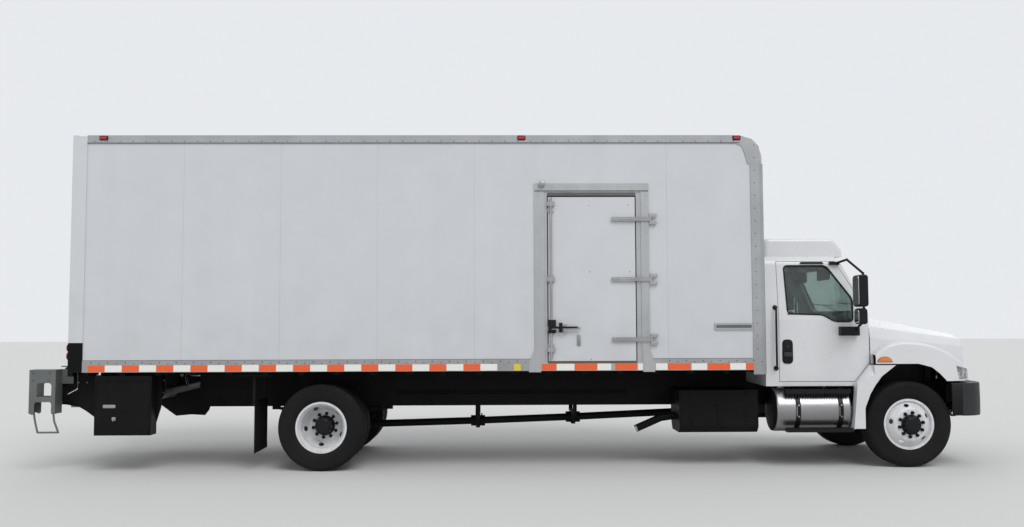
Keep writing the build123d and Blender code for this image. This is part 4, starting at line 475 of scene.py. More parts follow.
# The hood's hinge arms are bare black steel
hood_mesh = nodes["hood"].data
hood_mesh.materials.append(finishes["frame_black"])
arm_half_width = 0.0135
arm_top_z = 1.232
arm_rear_x = 5.25
for poly in hood_mesh.polygons:
    middle = nodes["hood"].matrix_world @ poly.center
    if abs(abs(middle.y) - hood_hinge_y) < arm_half_width and middle.z < arm_top_z and middle.x > arm_rear_x:
        poly.material_index = 1

# Reflective tape along the bottom rails and the rear sill; the third value is orange, white or yellow
tape_face = box_half + 0.0006
tape_thick = 0.0008
tape_pitch = 0.1967
tape_low_z = 1.1605
tape_high_z = 1.2365
door_frame_span = (0.195, 1.531)
door_frame_proud = 0.004
front_tape = {1: [(low, low + tape_pitch, k % 2) for k, low in enumerate(spaced(0.27, tape_pitch, 12))],
              -1: [(0.270, 0.443, 0), (0.443, 0.651, 1), (0.651, 0.916, 0), (0.916, 1.078, 1),
                   (1.124, 1.378, 0), (1.389, 1.447, 1), (1.597, 1.735, 1), (1.735, 2.001, 0),
                   (2.013, 2.197, 1), (2.197, 2.463, 0), (2.463, 2.647, 1), (2.647, 2.740, 0)]}
tape = Shape()
for side in both_sides:
    strips = [(low, low + tape_pitch, k % 2) for k, low in enumerate(spaced(-4.965, tape_pitch, 24))]
    for low, high, kind in strips + [(-0.053, 0.028, 2)] + front_tape[side]:
        wave = 0.0012 * math.sin(low * 37.0)
        near = tape_face
        if side < 0 and door_frame_span[0] < low and high < door_frame_span[1]:
            near += door_frame_proud
        tape.index = kind
        tape.box((low + 0.001, side * near, tape_low_z + wave),
                 (high - 0.001, side * (near + tape_thick), tape_high_z + wave))
for k, low in enumerate(spaced(-1.19, 0.1983, 12)):
    tape.index = k % 2
    tape.box((box_rear_x - 0.0014, low, 1.224), (box_rear_x - 0.0006, low + 0.196, 1.2475))
tape.finish("rail_tape", ["tape_orange", "tape_white", "tape_yellow"], slot=None, smooth=None)

# Rivets of the rails and wall edges, away from the side door
door_clear = (0.06, 1.66)
rivets = Shape()
for side in both_sides:
    face = side * box_half
    out = (0, side, 0)
    for x in spaced(-4.93, tape_pitch, 40):
        if side > 0 or not door_clear[0] < x < door_clear[1]:
            rivets.dome((x, face, 1.268), out, 0.0085, 0.004, 8)
            rivets.dome((x + 0.098, face, 1.2535), out, 0.0075, 0.0035, 8)
    for x in spaced(-4.95, 0.15, 51):
        rivets.dome((x, face, 3.846), out, 0.0075, 0.0035, 8)
    for z in spaced(1.40, 0.15, 17):
        rivets.dome((2.788, side * (box_half - 0.0005), z), out, 0.0075, 0.004, 8)
rivets.finish("rail_rivets", "dull_steel", slot="polished_alu")

# Panel joints of the walls, drip edge of the top rail and the seal above the bottom rail
seams = Shape()
for side in both_sides:
    wall = side * wall_outer
    seams.index = 0
    seams.box((-5.03, side * (box_half - 0.0005), 3.823), (2.62, side * (box_half + 0.003), 3.8285))
    seams.box((-5.03, wall, 1.2895), (2.74, side * (wall_outer + 0.0022), 1.2935))
    seams.index = 1
    for k in range(1, 7):
        x = -5.03 + k * 1.13
        if side > 0 or not 0.1 < x < 1.6:
            seams.box((x - 0.0012, wall, 1.294), (x + 0.0012, side * (wall_outer + 0.0006), 3.823))
seams.finish("wall_seams", ["seal_rubber", "post_metal"], slot=None, smooth=None)

# Tyres: ribs in front, blocks behind
tyre_wall = [(-0.1115, 0.2983), (-0.1160, 0.3060), (-0.1250, 0.3120), (-0.1290, 0.3240), (-0.1330, 0.3300),
             (-0.1335, 0.3450), (-0.1362, 0.3480), (-0.1373, 0.3800), (-0.1375, 0.4000), (-0.1368, 0.4200),
             (-0.1345, 0.4400), (-0.1352, 0.4430), (-0.1330, 0.4540), (-0.1280, 0.4680), (-0.1215, 0.4810),
             (-0.1160, 0.4880), (-0.1085, 0.4985)]
ribbed_crown = [(-0.1040, tyre_radius - 0.0015)]
for groove in (-0.063, -0.021, 0.021, 0.063):
    top = tyre_radius - 0.002 * (groove / 0.1) ** 2
    ribbed_crown += [(groove - 0.0055, top), (groove - 0.0040, top - 0.0125),
                     (groove + 0.0040, top - 0.0125), (groove + 0.0055, top)]
ribbed_crown.append((0.1040, tyre_radius - 0.0015))
block_crown = [(-0.1040, 0.4885), (0.0, 0.4900), (0.1040, 0.4885)]
# Crown, rows of blocks with their widths, blocks in a row, share of the pitch, slant and radii of the blocks
front_tread = (ribbed_crown, [(-0.0865, 0.036), (0.0865, 0.036)], 72, 0.30, 0.0, (0.4985, 0.5033))
rear_rows = [(-0.0865, 0.037), (-0.042, 0.033), (0.0, 0.032), (0.042, 0.033), (0.0865, 0.037)]
rear_tread = (block_crown, rear_rows, 50, 0.41, 0.012, (0.4870, tyre_radius))


def tyres(name, axle_x, centres, body, kind):
    crown, rows, count, share, slant, radii = kind
    shape = Shape()
    profile = tyre_wall + crown + [(-a, b) for a, b in reversed(tyre_wall)]
    for centre_y in centres:
        shape.lathe((axle_x, centre_y, axle_z), (0, 1, 0), profile, 96, closed=True)
        for row, (place, width) in enumerate(rows):
            skew = slant if row % 2 else -slant
            for k in range(count):
                angle = 2 * math.pi * (k + 0.5 * (row % 2)) / count
                half = share * 2 * math.pi / count
                corners = []
                for radius in radii:
                    for dy, da in ((-1, -1), (1, -1), (1, 1), (-1, 1)):
                        turn = angle + da * half + dy * skew
                        y = place + dy * width / 2
                        r = radius - (0.004 if abs(y) > 0.1 and radius > 0.5 else 0.0)
                        corners.append(shape.vertex((axle_x + r * math.cos(turn), centre_y + y,
                                                     axle_z + r * math.sin(turn))))
                for quad in ((4, 5, 6, 7), (0, 1, 5, 4), (1, 2, 6, 5), (2, 3, 7, 6), (3, 0, 4, 7)):
                    shape.face([corners[i] for i in quad])
    return shape.finish(name, "tyre_rubber", body, "tyre_black", 32)


for name, side in side_names.items():
    piece = tyres("front_tyre_tread_" + name, front_axle_x, [side * front_track_half],
                  "front_wheel_" + name, front_tread)
    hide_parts("front_tyre_" + name)
    twins = [side * (dual_plane_half - wheel_offset), side * (dual_plane_half + wheel_offset)]
    piece = tyres("rear_tyre_treads_" + name, rear_axle_x, twins, "rear_wheels_" + name, rear_tread)
    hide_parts("rear_tyres_" + name)

# Wheel nuts and hub covers
front_disc_y = front_track_half + wheel_offset
for name, side in side_names.items():
    out = Vector((0, side, 0))
    for axle_x, face_y, hub_y, body in (
        (front_axle_x, front_disc_y, front_disc_y + 0.052, "front_wheel_" + name),
        (rear_axle_x, dual_plane_half + 0.012, dual_plane_half + 0.150, "rear_wheels_" + name),
    ):
        label = body[:5] + "_" + name
        nuts = Shape()
        for dx, dz in ring(10, 0.1405, 0.3):
            place = Vector((axle_x + dx, side * face_y, axle_z + dz))
            nuts.lathe(place, out, [(0, 0), (0, 0.021), (0.004, 0.021), (0.005, 0.018)], 14)
            nuts.nut(place + out * 0.004, out, 0.033, 0.026)
            nuts.rod(place + out * 0.026, place + out * 0.043, 0.0095, 10)
        nuts.finish("wheel_nuts_" + label, "black_plastic", body, "tyre_black", 35)
        hub = Shape()
        deep = hub_y - face_y
        profile = [(0, 0.119), (0.006, 0.119), (0.010, 0.108), (0.014, 0.103), (deep - 0.010, 0.097),
                   (deep + 0.001, 0.0935), (deep + 0.005, 0.080), (deep + 0.010, 0.074),
                   (deep + 0.012, 0.050), (deep + 0.012, 0)]
        hub.lathe((axle_x, side * face_y, axle_z), out, profile, 40)
        for dx, dz in ring(8, 0.085):
            hub.nut((axle_x + dx, side * (hub_y + 0.002), axle_z + dz), out, 0.014, 0.008)
        hub.finish("hub_cover_" + label, "black_plastic", body, "tyre_black", 35)


# Cab surfaces as the CAD source has them
belt_z = 1.74
bow_centre_x = 0.905


def cab_half(z):
    if z < belt_z:
        return 1.03 + (z - 0.95) * 0.02 / 0.79
    return 1.05 - (z - belt_z) * 0.075 / 0.66


def cab_front_x(y, z):
    radius = 3.448 - max(z - 1.815, 0) * 0.313 / 0.625
    return bow_centre_x + math.sqrt(radius ** 2 - y ** 2)


def hood_z(x, y):
    t = (x - 4.145) / 1.385
    rear = ((0.0, 1.796), (0.620, 1.796), (0.930, 1.660), (1.010, 1.530), (1.030, 1.212))
    nose = ((0.0, 1.546), (0.380, 1.546), (0.560, 1.490), (0.610, 1.410), (0.640, 1.190))
    corners = [(a[0] + (b[0] - a[0]) * t, a[1] + (b[1] - a[1]) * t) for a, b in zip(rear, nose)]
    for (ya, za), (yb, zb) in zip(corners[:-1], corners[1:]):
        if abs(y) <= yb:
            return za + (zb - za) * (abs(y) - ya) / (yb - ya)
    return corners[-1][1]


# Window seals, door handles, grab bars, mirror glass and clamps
window = [(3.225, 1.812), (3.640, 1.800), (3.785, 1.715), (4.003, 1.715), (4.009, 1.985),
          (3.715, 2.388), (3.203, 2.388)]
handle_y = cab_half(1.36)
for name, side in side_names.items():
    door = "door_" + name
    out = (0, side, 0)
    seal = Shape()
    seal.loop([(x, side * (cab_half(z) + 0.001), z) for x, z in rounded(window, 0.05, 5)], 0.0095)
    seal.finish("window_seal_" + name, "seal_rubber", door, smooth=60)
    pocket = Shape()
    sill = ((3.22, 1.806), (3.45, 1.800), (3.64, 1.794))
    pocket.tube([(x, side * (cab_half(z) + 0.0025), z) for x, z in sill], 0.006, 6)
    pocket.plate(side_view, (3.150, 1.215), (3.278, 1.505), side * (handle_y - 0.006),
                 side * (handle_y + 0.0055), 0.055, 5)
    pocket.finish("door_handle_pocket_" + name, "black_plastic", door, smooth=35, bevel=0.0015)
    handle = Shape()
    handle.plate(side_view, (3.166, 1.300), (3.262, 1.352), side * (handle_y + 0.005),
                 side * (handle_y + 0.024), 0.02, 4)
    lock = [(0, 0), (0, 0.015), (0.007, 0.014), (0.009, 0.009), (0.006, 0.003), (0.006, 0)]
    handle.lathe((3.214, side * (cab_half(1.4) + 0.005), 1.420), out, lock, 20)
    handle.finish("door_handle_" + name, "dark_plastic", door, smooth=35, bevel=0.002)
    bar = Shape()
    bar.tube([(x, side * y, z) for x, y, z in (
        (3.075, 1.046, 1.884), (3.072, 1.085, 1.880), (3.068, 1.108, 1.855), (3.066, 1.108, 1.52),
        (3.066, 1.108, 1.195), (3.070, 1.085, 1.168), (3.074, 1.036, 1.163))], 0.0125, 12)
    for z in (1.884, 1.163):
        foot = [(0, 0), (0, 0.030), (0.006, 0.030), (0.010, 0.020), (0.010, 0)]
        bar.lathe((3.075, side * (cab_half(z) - 0.002), z), out, foot, 20)
    bar.finish("grab_bar_" + name, "black_plastic", smooth=50)
    glass = Shape()
    for back, z_low, z_high, y_in, y_out in ((3.920, 1.905, 2.235, 1.302, 1.486),
                                             (3.925, 1.700, 1.850, 1.316, 1.456)):
        glass.plate(front_view, (side * y_in, z_low), (side * y_out, z_high),
                    back - 0.0035, back + 0.002, 0.03, 5)
    glass.finish("mirror_glass_" + name, "mirror_glass", door, "bright_steel", 30)
    clamps = Shape()
    for z in (1.775, 1.945, 2.195):
        clamps.lathe((4.047, side * 1.29, z - 0.018), (0, 0, 1),
                     [(0, 0), (0, 0.021), (0.036, 0.021), (0.036, 0)], 18)
        clamps.nut((4.047, side * 1.29 + side * 0.019, z), out, 0.013, 0.008)
    clamps.finish("mirror_clamps_" + name, "black_plastic", door, bevel=0.001)

# Windscreen rubber, cowl panel and wipers
screen = rounded([(-0.905, 1.850), (0.905, 1.850), (0.835, 2.398), (-0.835, 2.398)], 0.07, 6)
outline = []
for (ya, za), (yb, zb) in zip(screen, screen[1:] + screen[:1]):
    steps = max(1, int(abs(yb - ya) / 0.12))
    for k in range(steps):
        y = ya + (yb - ya) * k / steps
        z = za + (zb - za) * k / steps
        outline.append((cab_front_x(y, z) + 0.001, y, z))
rubber = Shape()
rubber.loop(outline, 0.011)
rubber.finish("windscreen_rubber", "seal_rubber", smooth=60)
cowl = Shape()
previous = None
for k in range(25):
    y = -0.93 + 1.86 * k / 24
    column = [cowl.vertex((cab_front_x(y, z) + 0.0035, y, z)) for z in (1.770, 1.800, 1.836)]
    if previous is not None:
        cowl.band(previous, column)
    previous = column
hood_seal = []
for k in range(33):
    y = -1.022 + 2.044 * k / 32
    x = bow_centre_x + math.sqrt(3.455 ** 2 - y ** 2)
    hood_seal.append((x, y, hood_z(x, y) - 0.016))
ends = [(*hood_seal[i][:2], 1.25) for i in (0, -1)]
cowl.tube([ends[0], *hood_seal, ends[1]], 0.009, 8)
cowl.finish("cowl_panel", "black_plastic", smooth=50)
wipers = Shape()
for pivot_y, tip_y in ((-0.52, -0.10), (0.30, 0.72)):
    pivot = Vector((cab_front_x(pivot_y, 1.818) + 0.004, pivot_y, 1.818))
    tip = Vector((cab_front_x(tip_y, 1.95) + 0.022, tip_y, 1.950))
    wipers.lathe(pivot, (1, 0, 0.4), [(0, 0), (0, 0.022), (0.020, 0.020), (0.026, 0.012), (0.026, 0)], 18)
    bend = (pivot + tip) / 2 + Vector((0.030, 0, 0))
    wipers.tube([pivot + Vector((0.02, 0, 0.006)), bend, tip + Vector((0.012, 0, 0))], 0.006, 8)
    blade = []
    for k in range(9):
        y = tip_y - 0.30 + 0.60 * k / 8
        z = 1.950 + 0.05 * (y - tip_y)
        blade.append((cab_front_x(y, z) + 0.012, y, z))
    wipers.tube(blade, 0.0065, 6)
wipers.finish("wipers", "black_plastic", smooth=50)

# Hood and fender trim: amber marker, lamp bowls, grille surround
for name, side in side_names.items():
    marker = Shape()
    marker.prism(half_turn((4.3205, 1.239), (0.083, 0.058), 14), side_view, side * 1.1815, side * 1.193)
    marker.finish("side_marker_" + name, "amber_lens", "hood_body", "lamp_lens", 35, 0.002)
    base = Shape()
    base.prism(half_turn((4.3205, 1.235), (0.090, 0.066), 14), side_view, side * 1.1805, side * 1.185)
    base.finish("marker_base_" + name, "seal_rubber", "hood_body", smooth=35, bevel=0.0015)
    bowls = Shape()
    facing = (0.86, side * 0.50, 0.06)
    for x, y, z, r in ((5.352, 1.000, 1.098, 0.047), (5.392, 0.880, 1.088, 0.052)):
        bowl = [(0, 0), (0.004, r * 0.5), (0.018, r * 0.85), (0.030, r), (0.031, r + 0.003),
                (0.024, r + 0.003), (0, r * 0.5)]
        bowls.lathe((x - 0.020, side * (y - 0.012), z), facing, bowl, 24)
        bowls.dome((x - 0.010, side * (y - 0.006), z), facing, 0.016, 0.016, 14)
    bowls.finish("lamp_bowls_" + name, "chrome", "hood_body", "bright_steel", 50)
trim = Shape()
surround = rounded([(-0.404, 1.232), (0.404, 1.232), (0.434, 1.483), (-0.434, 1.483)], 0.045, 6)
trim.loop([(5.5335, y, z) for y, z in surround], 0.0085)
for z in spaced(1.2895, 0.0345, 5):
    half = 0.393 + (z - 1.235) * 0.12
    trim.box((5.5235, -half, z - 0.0022), (5.5275, half, z + 0.0022))
trim.finish("grille_trim", "chrome", "hood_body", "bright_steel", 50)
wires = Shape()
for y in spaced(-0.39, 0.03, 27):
    wires.box((5.493, y - 0.0015, 1.25), (5.497, y + 0.0015, 1.465))
for z in spaced(1.262, 0.027, 8):
    wires.box((5.492, -0.405, z - 0.0015), (5.496, 0.405, z + 0.0015))
wires.finish("grille_mesh", "black_plastic", "hood_body", smooth=None)


# Bumper: end caps over the bent ends, step pads and lamps
def arc_through(a, b, c, count):
    """Points along the circle arc from a through b to c."""
    (ax, ay), (bx, by), (cx, cy) = a, b, c
    d = 2 * (ax * (by - cy) + bx * (cy - ay) + cx * (ay - by))
    a2, b2, c2 = ax ** 2 + ay ** 2, bx ** 2 + by ** 2, cx ** 2 + cy ** 2
    ux = (a2 * (by - cy) + b2 * (cy - ay) + c2 * (ay - by)) / d
    uy = (a2 * (cx - bx) + b2 * (ax - cx) + c2 * (bx - ax)) / d
    radius = math.hypot(ax - ux, ay - uy)
    first = math.atan2(ay - uy, ax - ux)
    turn = (math.atan2(cy - uy, cx - ux) - first + math.pi) % (2 * math.pi) - math.pi
    angles = [first + turn * k / count for k in range(count + 1)]
    return [(ux + radius * math.cos(angle), uy + radius * math.sin(angle)) for angle in angles]


def skin(shape, path, profile):
    """Shell along a path seen from above; profile gives heights and how far the shell stands off."""
    previous = None
    for i, (x, y) in enumerate(path):
        heading = (Vector(path[min(i + 1, len(path) - 1)]) - Vector(path[max(i - 1, 0)])).normalized()
        normal = Vector((heading.y, -heading.x))
        if normal.x + normal.y * y * 0.8 < 0:
            normal = -normal
        column = [shape.vertex((x + normal.x * off, y + normal.y * off, z)) for z, off in profile]
        if previous is not None:
            shape.band(previous, column)
        previous = column


bend = arc_through((5.555, 0.890), (5.487, 1.046), (5.255, 1.165), 14)
face_arc = arc_through((5.555, -0.890), (5.635, 0.0), (5.555, 0.890), 40)
cap_path = face_arc[-5:-1] + bend + [(5.235, 1.165)]
cap_profile = [(0.606, -0.030), (0.604, 0.0015), (0.608, 0.004), (0.640, 0.006), (0.780, 0.0075),
               (0.950, 0.006), (0.981, 0.004), (0.987, 0.0015), (0.987, -0.030)]
for name, side in side_names.items():
    cap = Shape()
    skin(cap, [(x, side * y) for x, y in cap_path], cap_profile)
    cap.finish("bumper_cap_" + name, "bumper_grey", smooth=50)
    flank = Shape()
    flank_path = [(x, side * 1.1655) for x in (5.229, 5.20, 5.15, 5.116)]
    skin(flank, flank_path, [(0.612, 0.0005), (0.618, 0.004), (0.973, 0.004), (0.979, 0.0005)])
    flank.finish("bumper_side_" + name, "black_plastic", smooth=50)
    lamp_at = (5.596, side * 0.60, 0.80)
    facing = (1, side * 0.12, 0)
    fog = Shape()
    fog.lathe(lamp_at, facing, [(-0.010, 0.074), (0.004, 0.074), (0.008, 0.068), (0.002, 0.060),
                                (-0.006, 0.058), (-0.010, 0.0)], 28)
    fog.index = 1
    fog.lathe(lamp_at, facing, [(-0.004, 0), (-0.004, 0.058), (0.003, 0.050),
                                (0.007, 0.030), (0.009, 0)], 28)
    fog.finish("fog_lamp_" + name, ["black_plastic", "clear_lens"], smooth=45)
pads = Shape()
for y in spaced(-0.78, 0.12, 14):
    x = 5.635 - y ** 2 * 0.100
    pads.box((x - 0.085, y - 0.04, 0.9845), (x - 0.030, y + 0.04, 0.9885))
pads.finish("bumper_pads", "seal_rubber", bevel=0.0015)
valance = Shape()
for low, high in ((-0.62, -0.322), (-0.278, 0.278), (0.322, 0.62)):
    valance.plate(front_view, (low, 0.946), (high, 1.135), 5.325, 5.333, 0.02, 4)
    for z in spaced(1.030, 0.030, 3):
        valance.plate(front_view, (low + 0.03, z), (high - 0.03, z + 0.012), 5.333, 5.338, 0.006)
for y in (-0.39, 0.39):
    valance.box((5.27, y - 0.03, 0.946), (5.33, y + 0.03, 0.953))
valance.finish("front_valance", "black_plastic", bevel=0.001)

# Filler panels between the doors and the fenders
fillers = Shape()
for side in both_sides:
    filler = [(4.209, 1.206), (4.2405, 1.206), (4.2405, 1.330), (4.209, 1.365)]
    fillers.prism(filler, side_view, side * 0.985, side * 1.043)
fillers.finish("cowl_sides", "cab_paint", slot="white_paint", bevel=0.003)

# Fuel tank: cap, fittings, a near-black cap of painted shade over the rear end, and the treads and teeth of
# the steps
tank = Shape()
cap_x, cap_y = 3.180, -0.828
cap = [(0, 0), (0, 0.054), (0.006, 0.056), (0.020, 0.054), (0.024, 0.048),
       (0.024, 0.018), (0.030, 0.016), (0.030, 0)]
tank.lathe((cap_x, cap_y, 0.938), (0, 0, 1), cap, 28)
for dx, dy in ring(4, 0.045):
    tank.box((cap_x + dx - 0.008, cap_y + dy - 0.008, 0.958),
             (cap_x + dx + 0.008, cap_y + dy + 0.008, 0.970))
for x in (3.305, 3.811):
    for z in (0.665, 0.70):
        tank.rod((x - 0.02, -1.134, z - 0.06), (x - 0.02, -1.1345, z + 0.02), 0.005, 8)
    tank.nut((x, -1.1305, 0.600), (0, -0.97, -0.2), 0.020, 0.014)
    tank.nut((x, -1.1305, 0.730), (0, -0.97, 0.2), 0.020, 0.014)
tank.lathe((3.70, -0.86, 0.922), (0, 0, 1),
           [(0, 0), (0, 0.018), (0.020, 0.018), (0.026, 0.012), (0.026, 0)], 16)
tank.finish("tank_fittings", "zinc", slot="polished_alu")
# Painted shade: a near-black dome over the whole rear end of the tank stands for the shade that falls there
end = Shape()
end.lathe((3.0505, -0.868, 0.665), (-1, 0, 0),
          [(0.0, 0.2525), (0.004, 0.247), (0.010, 0.226), (0.017, 0.17), (0.020, 0.09), (0.021, 0)], 48)
end.finish("tank_end_painted_shade", "frame_black", slot="polished_alu", smooth=60)
teeth = Shape()
step_span = (3.172, 3.923)
steps_across = 26
for y_low, y_high, top in ((-1.120, -1.035, 0.914), (-1.165, -1.060, 0.464),
                           (1.010, 1.120, 0.914), (1.010, 1.165, 0.464)):
    for k in range(steps_across):
        x = step_span[0] + (step_span[1] - step_span[0]) * (k + 0.5) / steps_across
        for y in (y_low + 0.02, (y_low + y_high) / 2, y_high - 0.02):
            teeth.box((x - 0.006, y - 0.010, top - 0.001), (x + 0.006, y + 0.010, top + 0.004))
for x in spaced(3.182, 0.0325, 23):
    tooth = [(x - 0.009, 0.869), (x - 0.005, 0.826), (x + 0.005, 0.826), (x + 0.009, 0.869)]
    teeth.prism(tooth, side_view, -1.119, -1.105)
teeth.finish("step_teeth", "black_plastic", slot="step_alu", smooth=None)

# Side door: bolts on the straps, screws, lock parts, seals and the sill strip
door_body = "cargo_side_door"
strap_heights = (1.516, 2.216, 2.921)
right = (0, -1, 0)
bolts = Shape()
for z in strap_heights:
    strap = half_turn((1.108, z), (0.022, 0.0235), 8, math.pi / 2)
    strap += [(1.378, z - 0.0235), (1.378, z + 0.0235)]
    bolts.prism(strap, side_view, -1.3195, -1.3245)
    for x in (1.125, 1.195, 1.265, 1.335):
        bolts.lathe((x, -1.3245, z), right,
                    [(0, 0), (0, 0.011), (0.002, 0.011), (0.005, 0.007), (0.006, 0)], 14)
for x, z in ((0.832, 3.085), (1.294, 3.090), (0.360, 3.084), (0.836, 2.305), (1.307, 2.305),
             (0.847, 1.286), (0.368, 1.286)):
    bolts.dome((x, -box_half, z), right, 0.008, 0.0035, 12)
bolts.finish("strap_bolts", "zinc", door_body, "polished_alu")
handle = Shape()
lock_plate = rectangle((0.303, 1.590), (0.438, 1.745), 0.012)
handle.prism([(max(x, 0.346), z) for x, z in lock_plate], side_view, -1.2955, -1.332)
lever = rounded([(0.372, 1.640), (0.690, 1.650), (0.690, 1.668), (0.372, 1.668)], 0.008, 3)
handle.prism(lever, side_view, -1.344, -1.350)
handle.plate(side_view, (0.470, 1.598), (0.512, 1.712), -1.346, -1.353, 0.008)
handle.finish("cargo_door_handle", "black_plastic", door_body, smooth=35, bevel=0.0015)
latches = Shape()
latches.plate(side_view, (0.680, 1.440), (0.726, 1.575), -1.2955, -1.303, 0.014)
latches.tube([(0.703, -1.303, 1.560), (0.703, -1.318, 1.550), (0.703, -1.320, 1.470),
              (0.703, -1.312, 1.455)], 0.006, 8)
for z in (1.44, 2.25, 3.02):
    latches.plate(side_view, (0.347, z - 0.030), (0.420, z + 0.030), -1.2955, -1.300, 0.008)
latches.finish("cargo_door_latches", "zinc", door_body, "polished_alu", bevel=0.001)
gasket = Shape()
for (x_low, z_low), (x_high, z_high) in (((0.3455, 1.268), (0.353, 3.193)),
                                         ((1.372, 1.268), (1.3795, 3.193)),
                                         ((0.3455, 3.183), (1.3795, 3.1935))):
    gasket.box((x_low, -1.2945, z_low), (x_high, -1.2965, z_high))
gasket.finish("cargo_door_gasket", "seal_rubber", door_body, smooth=None)
trim = Shape()
trim.box((0.195, -1.300, 3.252), (1.530, -1.306, 3.258))
trim.index = 3
trim.box((0.344, -1.2985, 3.197), (1.381, -1.3005, 3.232))
trim.index = 1
trim.box((0.344, -1.2965, 1.2385), (1.381, -1.3005, 1.262))
trim.index = 2
trim.lathe((0.280, -1.3335, 3.334), right,
           [(0, 0), (0, 0.034), (0.004, 0.034), (0.009, 0.026), (0.010, 0)], 24)
for z in strap_heights:
    for dz in (-0.042, 0.042):
        for x in (1.583, 1.613):
            trim.dome((x, -1.3335, z + dz), right, 0.007, 0.004)
frame_screws = [(x, z) for z in spaced(1.32, 0.145, 14) for x in (0.225, 1.500)]
frame_screws += [(x, 3.300) for x in spaced(0.25, 0.153, 9)]
for x, z in frame_screws:
    trim.dome((x, -1.299, z), right, 0.006, 0.003, 8)
trim.finish("cargo_door_frame_trim",
            ["seal_rubber", "sill_brown", "zinc", "dull_steel"], slot="polished_alu")
pad = Shape()
pad.plate(side_view, (2.307, 1.645), (2.722, 1.681), -1.3005, -1.3035, 0.012)
for x in (2.325, 2.5145, 2.704):
    pad.dome((x, -1.3035, 1.663), right, 0.008, 0.004, 12)
pad.finish("holdback_pad", "galvanised", slot="polished_alu")

# Lamp housings of the markers and tail lamps
backward = (-1, 0, 0)
housings = Shape()
for side in (1, -1):
    y = side * (box_half + 0.0005)
    for x in (-4.840, 0.045, 2.585):
        housings.plate(side_view, (x - 0.048, 3.858), (x + 0.048, 3.911), y, y + side * 0.012, 0.015, 4)
    for z in (1.345, 1.440):
        bezel = [(0, 0.0), (0, 0.049), (0.010, 0.049), (0.013, 0.045), (0.013, 0.0415)]
        housings.lathe((box_rear_x - 0.0005, side * 1.245, z), backward, bezel, 28)
for y in (-1.180, -0.230, 0.0, 0.230, 1.180):
    housings.plate(front_view, (y - 0.046, 3.838), (y + 0.046, 3.888), box_rear_x - 0.010,
                   box_rear_x - 0.0005, 0.012, 4)
housings.finish("lamp_housings", "black_plastic", bevel=0.001)

# Rear: roll-up door hardware and rivets
door_x = -5.0995
pin_x = door_x - 0.004
hardware = Shape()
for seam in spaced(1.60057, 0.34957, 6):
    for y in (-0.95, -0.32, 0.32, 0.95):
        hardware.box((door_x - 0.002, y - 0.028, seam - 0.036), (door_x + 0.001, y + 0.028, seam + 0.036))
        hardware.rod((pin_x, y - 0.028, seam), (pin_x, y + 0.028, seam), 0.006, 8)
hardware.plate(front_view, (-0.075, 1.300), (0.075, 1.440), pin_x, door_x + 0.001, 0.015)
hardware.tube([(pin_x, -0.045, 1.40), (door_x - 0.026, -0.045, 1.395), (door_x - 0.028, 0.06, 1.360),
               (door_x - 0.028, 0.155, 1.340)], 0.008)
hardware.lathe((pin_x, -0.045, 1.395), backward,
               [(0, 0), (0, 0.026), (0.014, 0.024), (0.018, 0.014), (0.018, 0)], 20)
for first, last in ((-0.42, -0.30), (0.30, 0.42)):
    hardware.tube([(pin_x, first, 1.315), (door_x - 0.020, first, 1.312), (door_x - 0.020, last, 1.312),
                   (pin_x, last, 1.315)], 0.007, 8)
hardware.finish("roll_door_hardware", "zinc", slot="bright_steel")
seal = Shape()
seal.box((-5.098, -1.218, 1.2505), (-5.076, 1.218, 1.268))
seal.finish("roll_door_seal", "seal_rubber", smooth=50, bevel=0.004)
rivets = Shape()
places = [(side * 1.215, z) for z in spaced(1.60, 0.25, 9) for side in both_sides]
for y, z in places + [(y, 3.745) for y in spaced(-1.05, 0.15, 15)]:
    rivets.dome((box_rear_x - 0.0005, y, z), backward, 0.007, 0.0035, 8)
rivets.finish("rear_rivets", "zinc", slot="polished_alu")


# Cab interior: padded seats, dashboard, column, pedals, mats and door panels
def cushion(name, centre, across, along, size, crown, channels):
    """Crowned pad, pulled in between its corners, with sewn channels and piping round its seam."""
    width, length, thick = size
    across = Vector(across).normalized()
    along = Vector(along).normalized()
    up = across.cross(along)
    count = 26
    steps = [math.sin(math.pi / 2 * (2 * k / count - 1)) for k in range(count + 1)]
    pull = 0.014
    shape = Shape()
    made = {}

    def vertex(i, j, top):
        top = top or i in (0, count) or j in (0, count)
        key = (i, j, top)
        if key not in made:
            u = steps[i]
            v = steps[j]
            tuck = 0.022 * abs(u * v) ** 10
            a = u * (width / 2 - pull * (1 - v * v) * abs(u) ** 3 - tuck)
            b = v * (length / 2 - pull * (1 - u * u) * abs(v) ** 3 - tuck)
            edge = math.sqrt(max(0.0, (1 - abs(u) ** 7) * (1 - abs(v) ** 7)))
            height = -thick / 2 * edge
            if top:
                height = thick / 2 * edge + crown * (1 - u * u) * (1 - v * v)
                for channel in channels:
                    height -= 0.008 * math.exp(-((v - channel) / 0.04) ** 2) * edge
            made[key] = shape.vertex(Vector(centre) + across * a + along * b + up * height)
        return made[key]

    for top in (True, False):
        for i in range(count):
            for j in range(count):
                quad = [vertex(i + di, j + dj, top) for di, dj in ((0, 0), (1, 0), (1, 1), (0, 1))]
                shape.face(quad if top else quad[::-1])
    border = [(i, 0) for i in range(count)] + [(count, j) for j in range(count)]
    border += [(i, count) for i in range(count, 0, -1)] + [(0, j) for j in range(count, 0, -1)]
    shape.loop([vertex(i, j, True).co.copy() for i, j in border], 0.0055)
    pad = shape.finish(name, "seat_cloth", smooth=60)
    return pad


